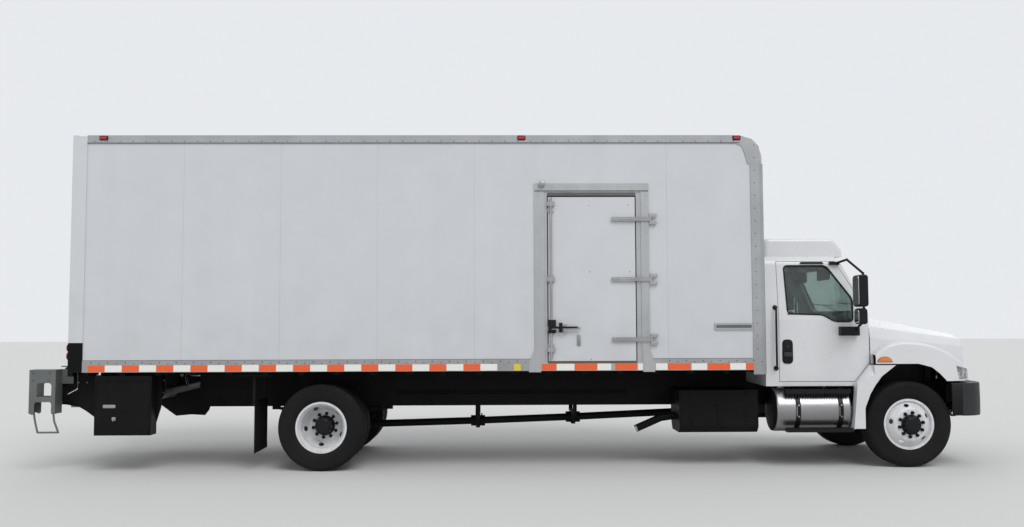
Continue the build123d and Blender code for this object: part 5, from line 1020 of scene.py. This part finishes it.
for name, side in side_names.items():
    y = side * 0.52
    pad = cushion("seat_cushion_" + name, (3.445, y, 1.262), (0, -1, 0), (1, 0, 0.03),
                  (0.50, 0.50, 0.125), 0.022, (-0.35, 0.1, 0.5))
    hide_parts("cab_interior")
    cushion("seat_back_" + name, (3.142, y, 1.575), (0, 1, 0), (-0.09, 0, 1),
            (0.48, 0.62, 0.105), 0.02, (-0.4, 0.0, 0.4))
    cushion("head_rest_" + name, (3.088, y, 1.985), (0, 1, 0), (-0.05, 0, 1),
            (0.27, 0.16, 0.075), 0.012, ())
    seat = Shape()
    shell = rounded([(y - 0.235, 1.25), (y + 0.235, 1.25), (y + 0.215, 1.90), (y - 0.215, 1.90)], 0.08, 5)
    seat.prism(shell, front_view, 3.062, 3.084)
    for post_y in (y - 0.06, y + 0.06):
        seat.tube([(3.070, post_y, 1.86), (3.072, post_y, 1.97)], 0.007, 8)
    for k, z in enumerate(spaced(1.0065, 0.030, 6)):
        inset = 0.012 if k % 2 else 0.0
        seat.plate(top_view, (3.245 + inset, y - 0.18 + inset),
                   (3.640 - inset, y + 0.18 - inset), z, z + 0.030, 0.04, 4)
    pan = rounded([(3.200, y - 0.245), (3.690, y - 0.235), (3.690, y + 0.235), (3.200, y + 0.245)], 0.05, 4)
    seat.prism(pan, top_view, 1.184, 1.206)
    seat.tube([(3.40, y - 0.24 * side, 1.20), (3.40, y - 0.262 * side, 1.23),
               (3.30, y - 0.262 * side, 1.30)], 0.007, 8)
    seat.finish("seat_frame_" + name, "black_plastic", bevel=0.002)
    belt = Shape()
    belt.lathe((3.003, side * 0.80, 2.06), (1, 0, 0),
               [(0, 0), (0, 0.032), (0.016, 0.030), (0.022, 0.018), (0.022, 0)], 20)
    belt.plate(front_view, (side * 0.76, 1.02), (side * 0.84, 1.20), 3.002, 3.050, 0.015)
    belt.finish("belt_anchor_" + name, "dark_plastic", bevel=0.002)


def dash_view(a, b, depth):
    return (3.975 + (b - 1.48) * 0.16 - depth, a, b)


dash = Shape()
body_shape = rounded([(3.975, 1.480), (4.015, 1.730), (4.145, 1.760),
                      (4.145, 1.350), (4.055, 1.350)], 0.022, 4)
dash.prism(body_shape, side_view, -0.88, 0.88)
hood_shape = rounded([(3.998, 1.715), (3.962, 1.790), (4.010, 1.822),
                      (4.120, 1.785), (4.130, 1.745)], 0.02, 4)
dash.prism(hood_shape, side_view, 0.27, 0.77)
dash.plate(dash_view, (-0.10, 1.505), (0.14, 1.715), -0.004, 0.014, 0.02)
dash.plate(dash_view, (-0.80, 1.500), (-0.22, 1.640), -0.004, 0.006, 0.02)
dash.box((4.115, -0.56, 1.0005), (4.145, 0.56, 1.400))
dash.finish("dashboard", "trim_grey", smooth=35, bevel=0.003)
gauges = Shape()
facing = (-0.9875, 0, 0.158)
for y, z, radius in ((0.42, 1.648, 0.058), (0.62, 1.648, 0.058), (0.315, 1.655, 0.026),
                     (0.52, 1.690, 0.026), (0.725, 1.655, 0.026),
                     (0.315, 1.575, 0.022), (0.725, 1.575, 0.022)):
    dial = [(0, radius), (0.010, radius), (0.012, radius - 0.004), (0.004, radius - 0.007), (0.003, 0)]
    gauges.index = 0
    gauges.lathe(dash_view(y, z, 0.0), facing, dial, 26)
    gauges.index = 1
    gauges.rod(dash_view(y, z, 0.005), dash_view(y + radius * 0.45, z + radius * 0.30, 0.005), 0.0012, 6)
gauges.index = 0
for y_low, y_high in ((-0.872, -0.81), (-0.22, -0.12), (0.14, 0.24), (0.81, 0.872)):
    for z in spaced(1.660, 0.014, 4):
        gauges.box(dash_view(y_low, z, 0.006), dash_view(y_high, z + 0.0035, -0.004))
for y in spaced(-0.06, 0.04, 5):
    gauges.lathe(dash_view(y, 1.545, 0.013), facing, [(0, 0.012), (0.014, 0.010), (0.015, 0)], 14)
gauges.plate(dash_view, (-0.085, 1.600), (0.125, 1.660), 0.010, 0.017, 0.008)
gauges.finish("dash_gauges", ["black_plastic", "white_lens"])
column = Shape()
wheel_centre = Vector((3.735, 0.52, 1.640))
column_tilt = math.radians(35)
column_way = Vector((-math.sin(column_tilt), 0, math.cos(column_tilt)))
column.rod(wheel_centre - column_way * 0.69, wheel_centre - column_way * 0.0705, 0.033, 20)
shroud = [(0, 0.034), (0.01, 0.050), (0.12, 0.062), (0.205, 0.058), (0.222, 0.046), (0.222, 0.0)]
column.lathe(wheel_centre - column_way * 0.30, column_way, shroud, 24)
stalk = wheel_centre - column_way * 0.13
for reach in both_sides:
    column.tube([stalk, stalk + Vector((0, reach * 0.10, 0.012)),
                 stalk + Vector((0, reach * 0.19, 0.030))], 0.006, 8)
for y, width in ((0.40, 0.030), (0.53, 0.040), (0.66, 0.024)):
    column.tube([(4.118, y, 1.30), (4.070, y, 1.24), (4.062, y, 1.14)], 0.008, 8)
    column.plate(front_view, (y - width, 1.085), (y + width, 1.185), 4.052, 4.066, 0.012)
column.finish("column_and_pedals", "black_plastic", bevel=0.001)
mat = Shape()
mat.plate(top_view, (3.010, -0.93), (4.110, 0.93), 0.9995, 1.0062, 0.05, 4)
for y in spaced(-0.90, 0.0462, 40):
    mat.box((3.70, y - 0.006, 1.006), (4.08, y + 0.006, 1.0085))
mat.finish("cab_floor_mat", "floor_mat", smooth=30)
trim = Shape()
back_panel = rounded([(-0.88, 1.04), (0.88, 1.04), (0.83, 2.33), (-0.83, 2.33)], 0.08, 5)
trim.prism(back_panel, front_view, 3.0015, 3.010)
for side in both_sides:
    trim.plate(front_view, (side * 0.22, 2.235), (side * 0.66, 2.365), 3.858, 3.874, 0.03, 4)
    trim.tube([(3.866, side * 0.20, 2.37), (3.866, side * 0.68, 2.37)], 0.006, 8)
    for y in (0.21, 0.67):
        trim.tube([(3.866, side * y, 2.37), (3.866, side * y, 2.43)], 0.006, 8)
trim.finish("cab_trim", "trim_grey", bevel=0.002)
for name, side in side_names.items():
    door = "door_" + name
    panel = Shape()
    outline = rounded([(3.165, 1.055), (3.990, 1.055), (4.110, 1.300), (4.110, 1.560), (4.020, 1.665),
                       (3.640, 1.735), (3.165, 1.750)], 0.04, 4)
    panel.prism(outline, side_view, side * 0.970, side * 0.998)
    arm_rest = rounded([(3.330, 1.415), (3.800, 1.430), (3.860, 1.475), (3.330, 1.475)], 0.018, 4)
    panel.prism(arm_rest, side_view, side * 0.905, side * 0.972)
    speaker = [(0, 0.082), (0.006, 0.080), (0.010, 0.070), (0.006, 0.066), (0.008, 0.0)]
    panel.lathe((3.925, side * 0.971, 1.200), (0, -side, 0), speaker, 28)
    pocket = rounded([(3.210, 1.075), (3.780, 1.075), (3.800, 1.235), (3.210, 1.235)], 0.03, 4)
    panel.prism(pocket, side_view, side * 0.940, side * 0.972)
    panel.finish("door_panel_" + name, "trim_grey", door, bevel=0.003)
    latch = Shape()
    latch.plate(side_view, (3.400, 1.560), (3.560, 1.610), side * 0.955, side * 0.972, 0.014)
    latch.tube([(3.42, side * 0.958, 1.585), (3.43, side * 0.943, 1.585),
                (3.53, side * 0.943, 1.585)], 0.006, 8)
    latch.finish("door_latch_" + name, "chrome", door, "bright_steel", bevel=0.001)
    visor = Shape()
    y = side * (cab_half(2.42) + 0.004)
    visor.prism([(3.400, 2.410), (3.690, 2.410), (3.668, 2.434), (3.415, 2.434)], side_view,
                y - side * 0.01, y + side * 0.010)
    visor.finish("door_visor_" + name, "black_plastic", door, bevel=0.002)

# Frame fasteners, spring clamps, brake chambers, air tanks and lines
bolts = Shape()
for x in spaced(-3.70, 0.43, 21):
    for side in both_sides:
        for z in (0.735, 0.905):
            bolts.nut((x, side * 0.431, z), (0, side, 0), 0.020, 0.010)
            bolts.nut((x + 0.06, side * 0.431, z), (0, side, 0), 0.020, 0.010)
bolts.finish("frame_bolts", "frame_black", slot="black_frame", smooth=30)
clamps = Shape()
bolt_half = 0.051
for axle_x, low, high, reach in ((rear_axle_x, 0.428, 0.679, 0.082), (front_axle_x, 0.384, 0.527, 0.078)):
    for side in both_sides:
        y = side * 0.39
        for x in (axle_x - reach, axle_x + reach):
            bow = [(x, a, b) for a, b in half_turn((y, high - 0.012), (bolt_half, 0.012), 8)]
            clamps.tube([(x, y + bolt_half, low - 0.03), *bow, (x, y - bolt_half, low - 0.03)], 0.0085)
            for dy in (-bolt_half, bolt_half):
                clamps.nut((x, y + dy, low - 0.004), (0, 0, -1), 0.028, 0.018)
        first = (axle_x - reach - 0.02, y - 0.068)
        last = (axle_x + reach + 0.02, y + 0.068)
        clamps.plate(top_view, first, last, low - 0.004, low + 0.012, 0.012)
        clamps.plate(top_view, first, last, high - 0.010, high - 0.002, 0.012)
clamps.finish("spring_clamps", "cast_iron", slot="black_frame", bevel=0.0008)
brakes = Shape()
chamber = [(0, 0.0), (0.002, 0.050), (0.020, 0.066), (0.052, 0.068), (0.056, 0.078), (0.070, 0.078),
           (0.074, 0.068), (0.106, 0.066), (0.120, 0.080), (0.134, 0.080), (0.138, 0.070),
           (0.170, 0.060), (0.182, 0.035), (0.184, 0)]
for side in both_sides:
    y = side * 0.505
    brakes.lathe((-2.195, y, 0.615), (1, 0, 0.06), chamber, 28)
    brakes.rod((-2.300, y, 0.606), (-2.190, y, 0.615), 0.009, 10)
    slack = [(-2.318, 0.500), (-2.282, 0.500), (-2.288, 0.620), (-2.312, 0.620)]
    brakes.prism(slack, side_view, side * 0.495, side * 0.515)
    brakes.box((-2.235, y - 0.03, 0.50), (-2.190, y + 0.03, 0.57))
air_tank = [(0, 0.0), (0.010, 0.045), (0.035, 0.078), (0.060, 0.088), (0.600, 0.088), (0.625, 0.078),
            (0.650, 0.045), (0.660, 0.0)]
forward = (1, 0, 0)
for x_low in (-1.20, -0.35):
    brakes.lathe((x_low, 0.545, 0.800), forward, air_tank, 32)
    for x in (x_low + 0.13, x_low + 0.53):
        brakes.lathe((x - 0.015, 0.545, 0.800), forward,
                     [(0, 0.0885), (0, 0.0910), (0.030, 0.0910), (0.030, 0.0885)], 32)
        brakes.box((x - 0.02, 0.430, 0.745), (x + 0.02, 0.470, 0.855))
    brakes.rod((x_low + 0.33, 0.545, 0.713), (x_low + 0.33, 0.545, 0.700), 0.012, 10)
brakes.finish("brake_gear", "frame_black", slot="black_frame", smooth=45)
lines = Shape()
for side in both_sides:
    for z, radius in ((0.868, 0.006), (0.852, 0.006), (0.826, 0.010)):
        y = side * (0.432 + radius + 0.001)
        lines.tube([(x, y, z) for x in (-1.50, -0.6, 0.3, 1.36)], radius, 8)
    for x in spaced(-1.42, 0.33, 9):
        lines.box((x - 0.008, side * 0.431, 0.812), (x + 0.008, side * 0.456, 0.878))
lines.finish("frame_lines", "rubber", slot="black_frame", smooth=45)
cover = Shape()
cover_x = rear_axle_x - 0.1495
for dy, dz in ring(12, 0.183):
    cover.nut((cover_x, dy, axle_z + dz), backward, 0.018, 0.010)
cover.lathe((cover_x, 0, axle_z), backward,
            [(0, 0.165), (0.006, 0.160), (0.030, 0.12), (0.042, 0.06), (0.045, 0)], 36)
for x, z in ((-1.84, 0.455), (-0.448, 0.474), (0.73, 0.520)):
    for y in (-0.09, 0.09):
        cover.nut((x, y, z + 0.055), (0, 0, 1), 0.022, 0.014)
cover.finish("axle_cover", "cast_iron", slot="black_frame")

# Boxes on the frame: lids, straps, seams and latches
straps = Shape()
guard_x = 2.39
for x in (2.06, guard_x, 2.72):
    straps.box((x - 0.016, -1.0005, 0.476), (x + 0.016, -1.0045, 0.900))
    straps.nut((x, -1.0045, 0.860), right, 0.022, 0.012)
    straps.nut((x, -1.0045, 0.510), right, 0.022, 0.012)
for x in spaced(2.120, 0.0285, 22):
    if abs(x - guard_x) > 0.03:
        for z in spaced(0.60, 0.045, 5):
            straps.lathe((x, -1.0003, z), right,
                         [(0, 0.007), (0.0022, 0.0055), (0.0008, 0.003), (0.0008, 0)], 8)
straps.loop([(1.932, -1.0015, 0.482), (2.850, -1.0015, 0.482), (2.850, -1.0015, 0.893),
             (1.932, -1.0015, 0.893)], 0.0035, 6)
for x in (3.30, 3.53, 3.76):
    straps.box((x - 0.014, 1.0105, 0.468), (x + 0.014, 1.0145, 0.863))
    straps.plate(side_view, (x - 0.024, 0.700), (x + 0.024, 0.770), 1.0145, 1.024, 0.01)
straps.tube([(3.17, 1.012, 0.800), (3.90, 1.012, 0.800)], 0.003, 6)
straps.finish("box_straps", "frame_black", slot="black_frame", bevel=0.0008)
tip = Shape()
tip.lathe((1.459, -0.700, 0.4323), (-0.904, 0, -0.427),
          [(0, 0.0445), (0.020, 0.0465), (0.024, 0.044), (0.010, 0.041), (-0.05, 0.041), (-0.05, 0)], 28)
tip.finish("exhaust_tip", "zinc", slot="bright_steel", smooth=45)
pump = Shape()
face = -1.2505
pump.loop([(-4.880, face, 0.445), (-4.260, face, 0.445), (-4.260, face, 1.050),
           (-4.880, face, 1.050)], 0.004, 6)
for x in (-4.76, -4.57, -4.38):
    pump.rod((x - 0.035, face - 0.004, 1.050), (x + 0.035, face - 0.004, 1.050), 0.008, 10)
for x, z in [(x, z) for x in (-4.865, -4.275) for z in (0.46, 0.75, 1.03)] + [(-4.57, 0.46)]:
    pump.nut((x, face, z), right, 0.018, 0.010)
pump.finish("pump_box_trim", "gate_black", slot="black_gate")
latch = Shape()
latch.plate(side_view, (-4.795, 0.744), (-4.651, 0.782), face, face - 0.006, 0.01)
latch.plate(side_view, (-4.690, 0.600), (-4.646, 0.640), face, face - 0.008, 0.01)
latch.tube([(-4.668, face - 0.008, 0.622), (-4.668, face - 0.020, 0.615),
            (-4.668, face - 0.020, 0.590)], 0.005, 8)
latch.finish("pump_box_latch", "zinc", slot="polished_alu", bevel=0.001)

# Liftgate: bearing bolts, side plates that close the view under the tail
pivot_x = -4.285
bolts = Shape()
for side in both_sides:
    out = (0, side, 0)
    for x in (-4.37, pivot_x, -4.20):
        bolts.nut((x, side * 0.951, 1.045), out, 0.024, 0.014)
    for dx, dz in ring(8, 0.076):
        bolts.nut((pivot_x + dx, side * 0.951, 0.900 + dz), out, 0.014, 0.008)
    for x, z in ((-5.16, 1.19), (-5.06, 1.19), (-5.16, 1.03), (-5.06, 1.03)):
        bolts.nut((x, side * 1.0605, z), out, 0.022, 0.012)
    for x, z in ((-5.595, 1.155), (-5.405, 1.155), (-5.595, 1.070), (-5.405, 1.070)):
        bolts.nut((x, side * 1.2855, z), out, 0.020, 0.011)
bolts.finish("gate_bolts", "galvanised", slot="black_gate", smooth=30)
wings = Shape()
wing = rounded([(-5.175, 1.215), (-5.300, 1.215), (-5.365, 1.150), (-5.365, 0.800), (-5.290, 0.806),
                (-5.290, 0.895), (-5.175, 0.955)], 0.02, 4)
for side in both_sides:
    wings.prism(wing, side_view, side * 1.0605, side * 1.0705)
    wings.box((-5.1950, side * 1.0605, 1.214), (-5.3500, side * 1.110, 1.224))
    for z in (0.86, 1.00, 1.14):
        wings.nut((-5.335, side * 1.0705, z), (0, side, 0), 0.020, 0.010)
wings.box((-4.893, -1.100, 1.066), (-4.247, -1.090, 1.160))
wings.box((-4.893, 1.061, 1.046), (-4.247, 1.071, 1.160))
wings.finish("gate_wings", "gate_black", slot="black_gate", bevel=0.001)


# Liftgate: tread on both loading faces, ribs, torsion springs and lever pins
def tread(name, x_low, z, up, body):
    """Rows of small lozenges, turned by turns, on a deck face."""
    shape = Shape()
    x_high = -4.685
    deck_half = 0.89
    pitch = 0.046
    columns = int((x_high - x_low) / pitch)
    rows = int(2 * deck_half / pitch)
    for i in range(columns):
        for j in range(rows):
            centre = Vector((x_low + (i + 0.5) * (x_high - x_low) / columns,
                             (j + 0.5) * 2 * deck_half / rows - deck_half))
            turn = math.pi / 4 if (i + j) % 2 else -math.pi / 4
            along = Vector((math.cos(turn), math.sin(turn)))
            aside = Vector((-along.y, along.x))
            offsets = [along * 0.015, aside * 0.004, along * -0.015, aside * -0.004]
            low = [shape.vertex((*(centre + step), z)) for step in offsets]
            peak = [shape.vertex((*(centre + step * 0.6), z + up * 0.0012)) for step in offsets]
            shape.face(peak)
            shape.band(low, peak, True, True)
    shape.finish(name, "plate_metal", body, "step_alu", None)


tread("platform_tread", -5.325, 0.7600, -1, "gate_platform")
tread("tip_tread", -5.295, 0.7570, 1, "gate_flip_section")
for name, body, x_low, x_high, z in (("tip_ribs", "gate_flip_section", -5.290, -4.680, 0.7235),
                                     ("platform_ribs", "gate_platform", -5.270, -4.700, 0.7995)):
    ribs = Shape()
    for y in (-0.78, -0.47, -0.16, 0.16, 0.47, 0.78):
        ribs.box((x_low, y - 0.028, z), (x_high, y + 0.028, z + 0.004))
    ribs.finish(name, "plate_metal", body, "step_alu", 30, 0.001)
springs = Shape()
coil_steps = 12
coil_turns = 11
for side in both_sides:
    coil = []
    for k in range(coil_steps * coil_turns + 1):
        turn = 2 * math.pi * k / coil_steps
        coil.append((-5.375 + 0.0272 * math.cos(turn), side * (0.40 + 0.0095 * k / coil_steps),
                     0.800 + 0.0272 * math.sin(turn)))
    springs.tube(coil, 0.0028, 6)
    springs.lathe((-5.375, side * 1.0385, 0.800), (0, side, 0),
                  [(0, 0.022), (0.003, 0.022), (0.004, 0.018), (0.004, 0)], 20)
springs.finish("gate_springs", "zinc", "gate_carrier", "bright_steel", 60)
caps = Shape()
for side in both_sides:
    out = (0, side, 0)
    caps.lathe((pivot_x, side * 0.054, 1.060), out,
               [(-0.018, 0.020), (0.003, 0.020), (0.005, 0.016), (0.005, 0)], 20)
    caps.lathe((pivot_x, side * 1.0352, 0.900), out,
               [(0, 0.045), (0.005, 0.043), (0.007, 0.030), (0.007, 0)], 28)
    for k in range(5):
        caps.dome((-4.42 - k * 0.17, side * 1.0352, 0.760 - k * 0.004), out, 0.008, 0.004)
caps.finish("gate_arm_caps", "zinc", "gate_arms", "black_gate")
flaps = Shape()
for side in both_sides:
    for y in (0.66, 0.80, 0.94, 1.06, 1.16):
        flaps.nut((-3.0575, side * y, 0.776), forward, 0.016, 0.008)
        flaps.nut((-3.0970, side * y, 0.785), backward, 0.016, 0.008)
    for y in spaced(0.64, 0.0433, 13):
        flaps.box((-3.0575, side * y - 0.004, 0.245), (-3.0545, side * y + 0.004, 0.735))
flaps.finish("flap_ribs", "rubber", slot="flap_rubber", smooth=30)

# Floor
floor_mesh = bpy.data.meshes.new("floor")
corners = [(-70, -70, -0.001), (70, -70, -0.001), (70, 90, -0.001), (-70, 90, -0.001)]
floor_mesh.from_pydata(corners, [], [(0, 1, 2, 3)])
floor = bpy.data.objects.new("floor", floor_mesh)
bpy.context.scene.collection.objects.link(floor)
Look("studio_floor").finish({"Roughness": 0.9, "Specular IOR Level": 0.1, "Base Color": (0.62, 0.62, 0.61)})
floor_mesh.materials.append(finishes["studio_floor"])

# Pale backdrop for what the camera sees, and softer light from all round
world = bpy.data.worlds.new("studio")
bpy.context.scene.world = world
world.use_nodes = True
sky = world.node_tree
sky.nodes.clear()
seen = add_node(sky, "Background", 0, {"Color": (0.80, 0.82, 0.85), "Strength": 1.0})
soft = add_node(sky, "Background", 0, {"Color": (0.95, 0.97, 1.0), "Strength": 0.62})
either = None
for ray in ("Is Camera Ray", "Is Glossy Ray", "Is Transmission Ray"):
    kind = add_node(sky, "LightPath", ray, {})
    either = kind if either is None else add_node(sky, "Math", 0, {0: either, 1: kind}, operation="MAXIMUM")
blend = add_node(sky, "MixShader", 0, {0: either, 1: soft, 2: seen})
feed(sky, sky.nodes.new("ShaderNodeOutputWorld"), {0: blend})


def lamp(name, energy, location, spread):
    data = bpy.data.lights.new(name, "SUN")
    data.energy = energy
    data.angle = math.radians(spread)
    sun = bpy.data.objects.new(name, data)
    bpy.context.scene.collection.objects.link(sun)
    sun.location = location
    aim = Vector((0, 0, 1)) - Vector(location)
    sun.rotation_euler = aim.to_track_quat("-Z", "Y").to_euler()


lamp("key", 1.35, (6, -14, 18), 35)
lamp("fill", 0.45, (-14, -6, 9), 60)
lamp("back", 0.5, (2, 16, 12), 60)

# Camera fitted to the photograph: focal length in pixels of a picture 1024 wide
focal_pixels = 959.07
picture_width = 1024
yaw = 0.0144
pitch = 0.0633
roll = -0.0032
camera_data = bpy.data.cameras.new("camera")
camera_data.sensor_fit = "HORIZONTAL"
camera_data.sensor_width = 36.0
camera_data.lens = focal_pixels / picture_width * camera_data.sensor_width
camera_data.clip_end = 500
camera = bpy.data.objects.new("camera", camera_data)
bpy.context.scene.collection.objects.link(camera)
turn = Matrix.Rotation(-yaw, 4, "Z") @ Matrix.Rotation(math.pi / 2 + pitch, 4, "X")
turn = turn @ Matrix.Rotation(roll, 4, "Z")
camera.matrix_world = Matrix.Translation((-0.2314, -12.4656, 1.695)) @ turn
bpy.context.scene.camera = camera
bpy.context.scene.view_settings.view_transform = "Standard"

bpy.context.view_layer.update()
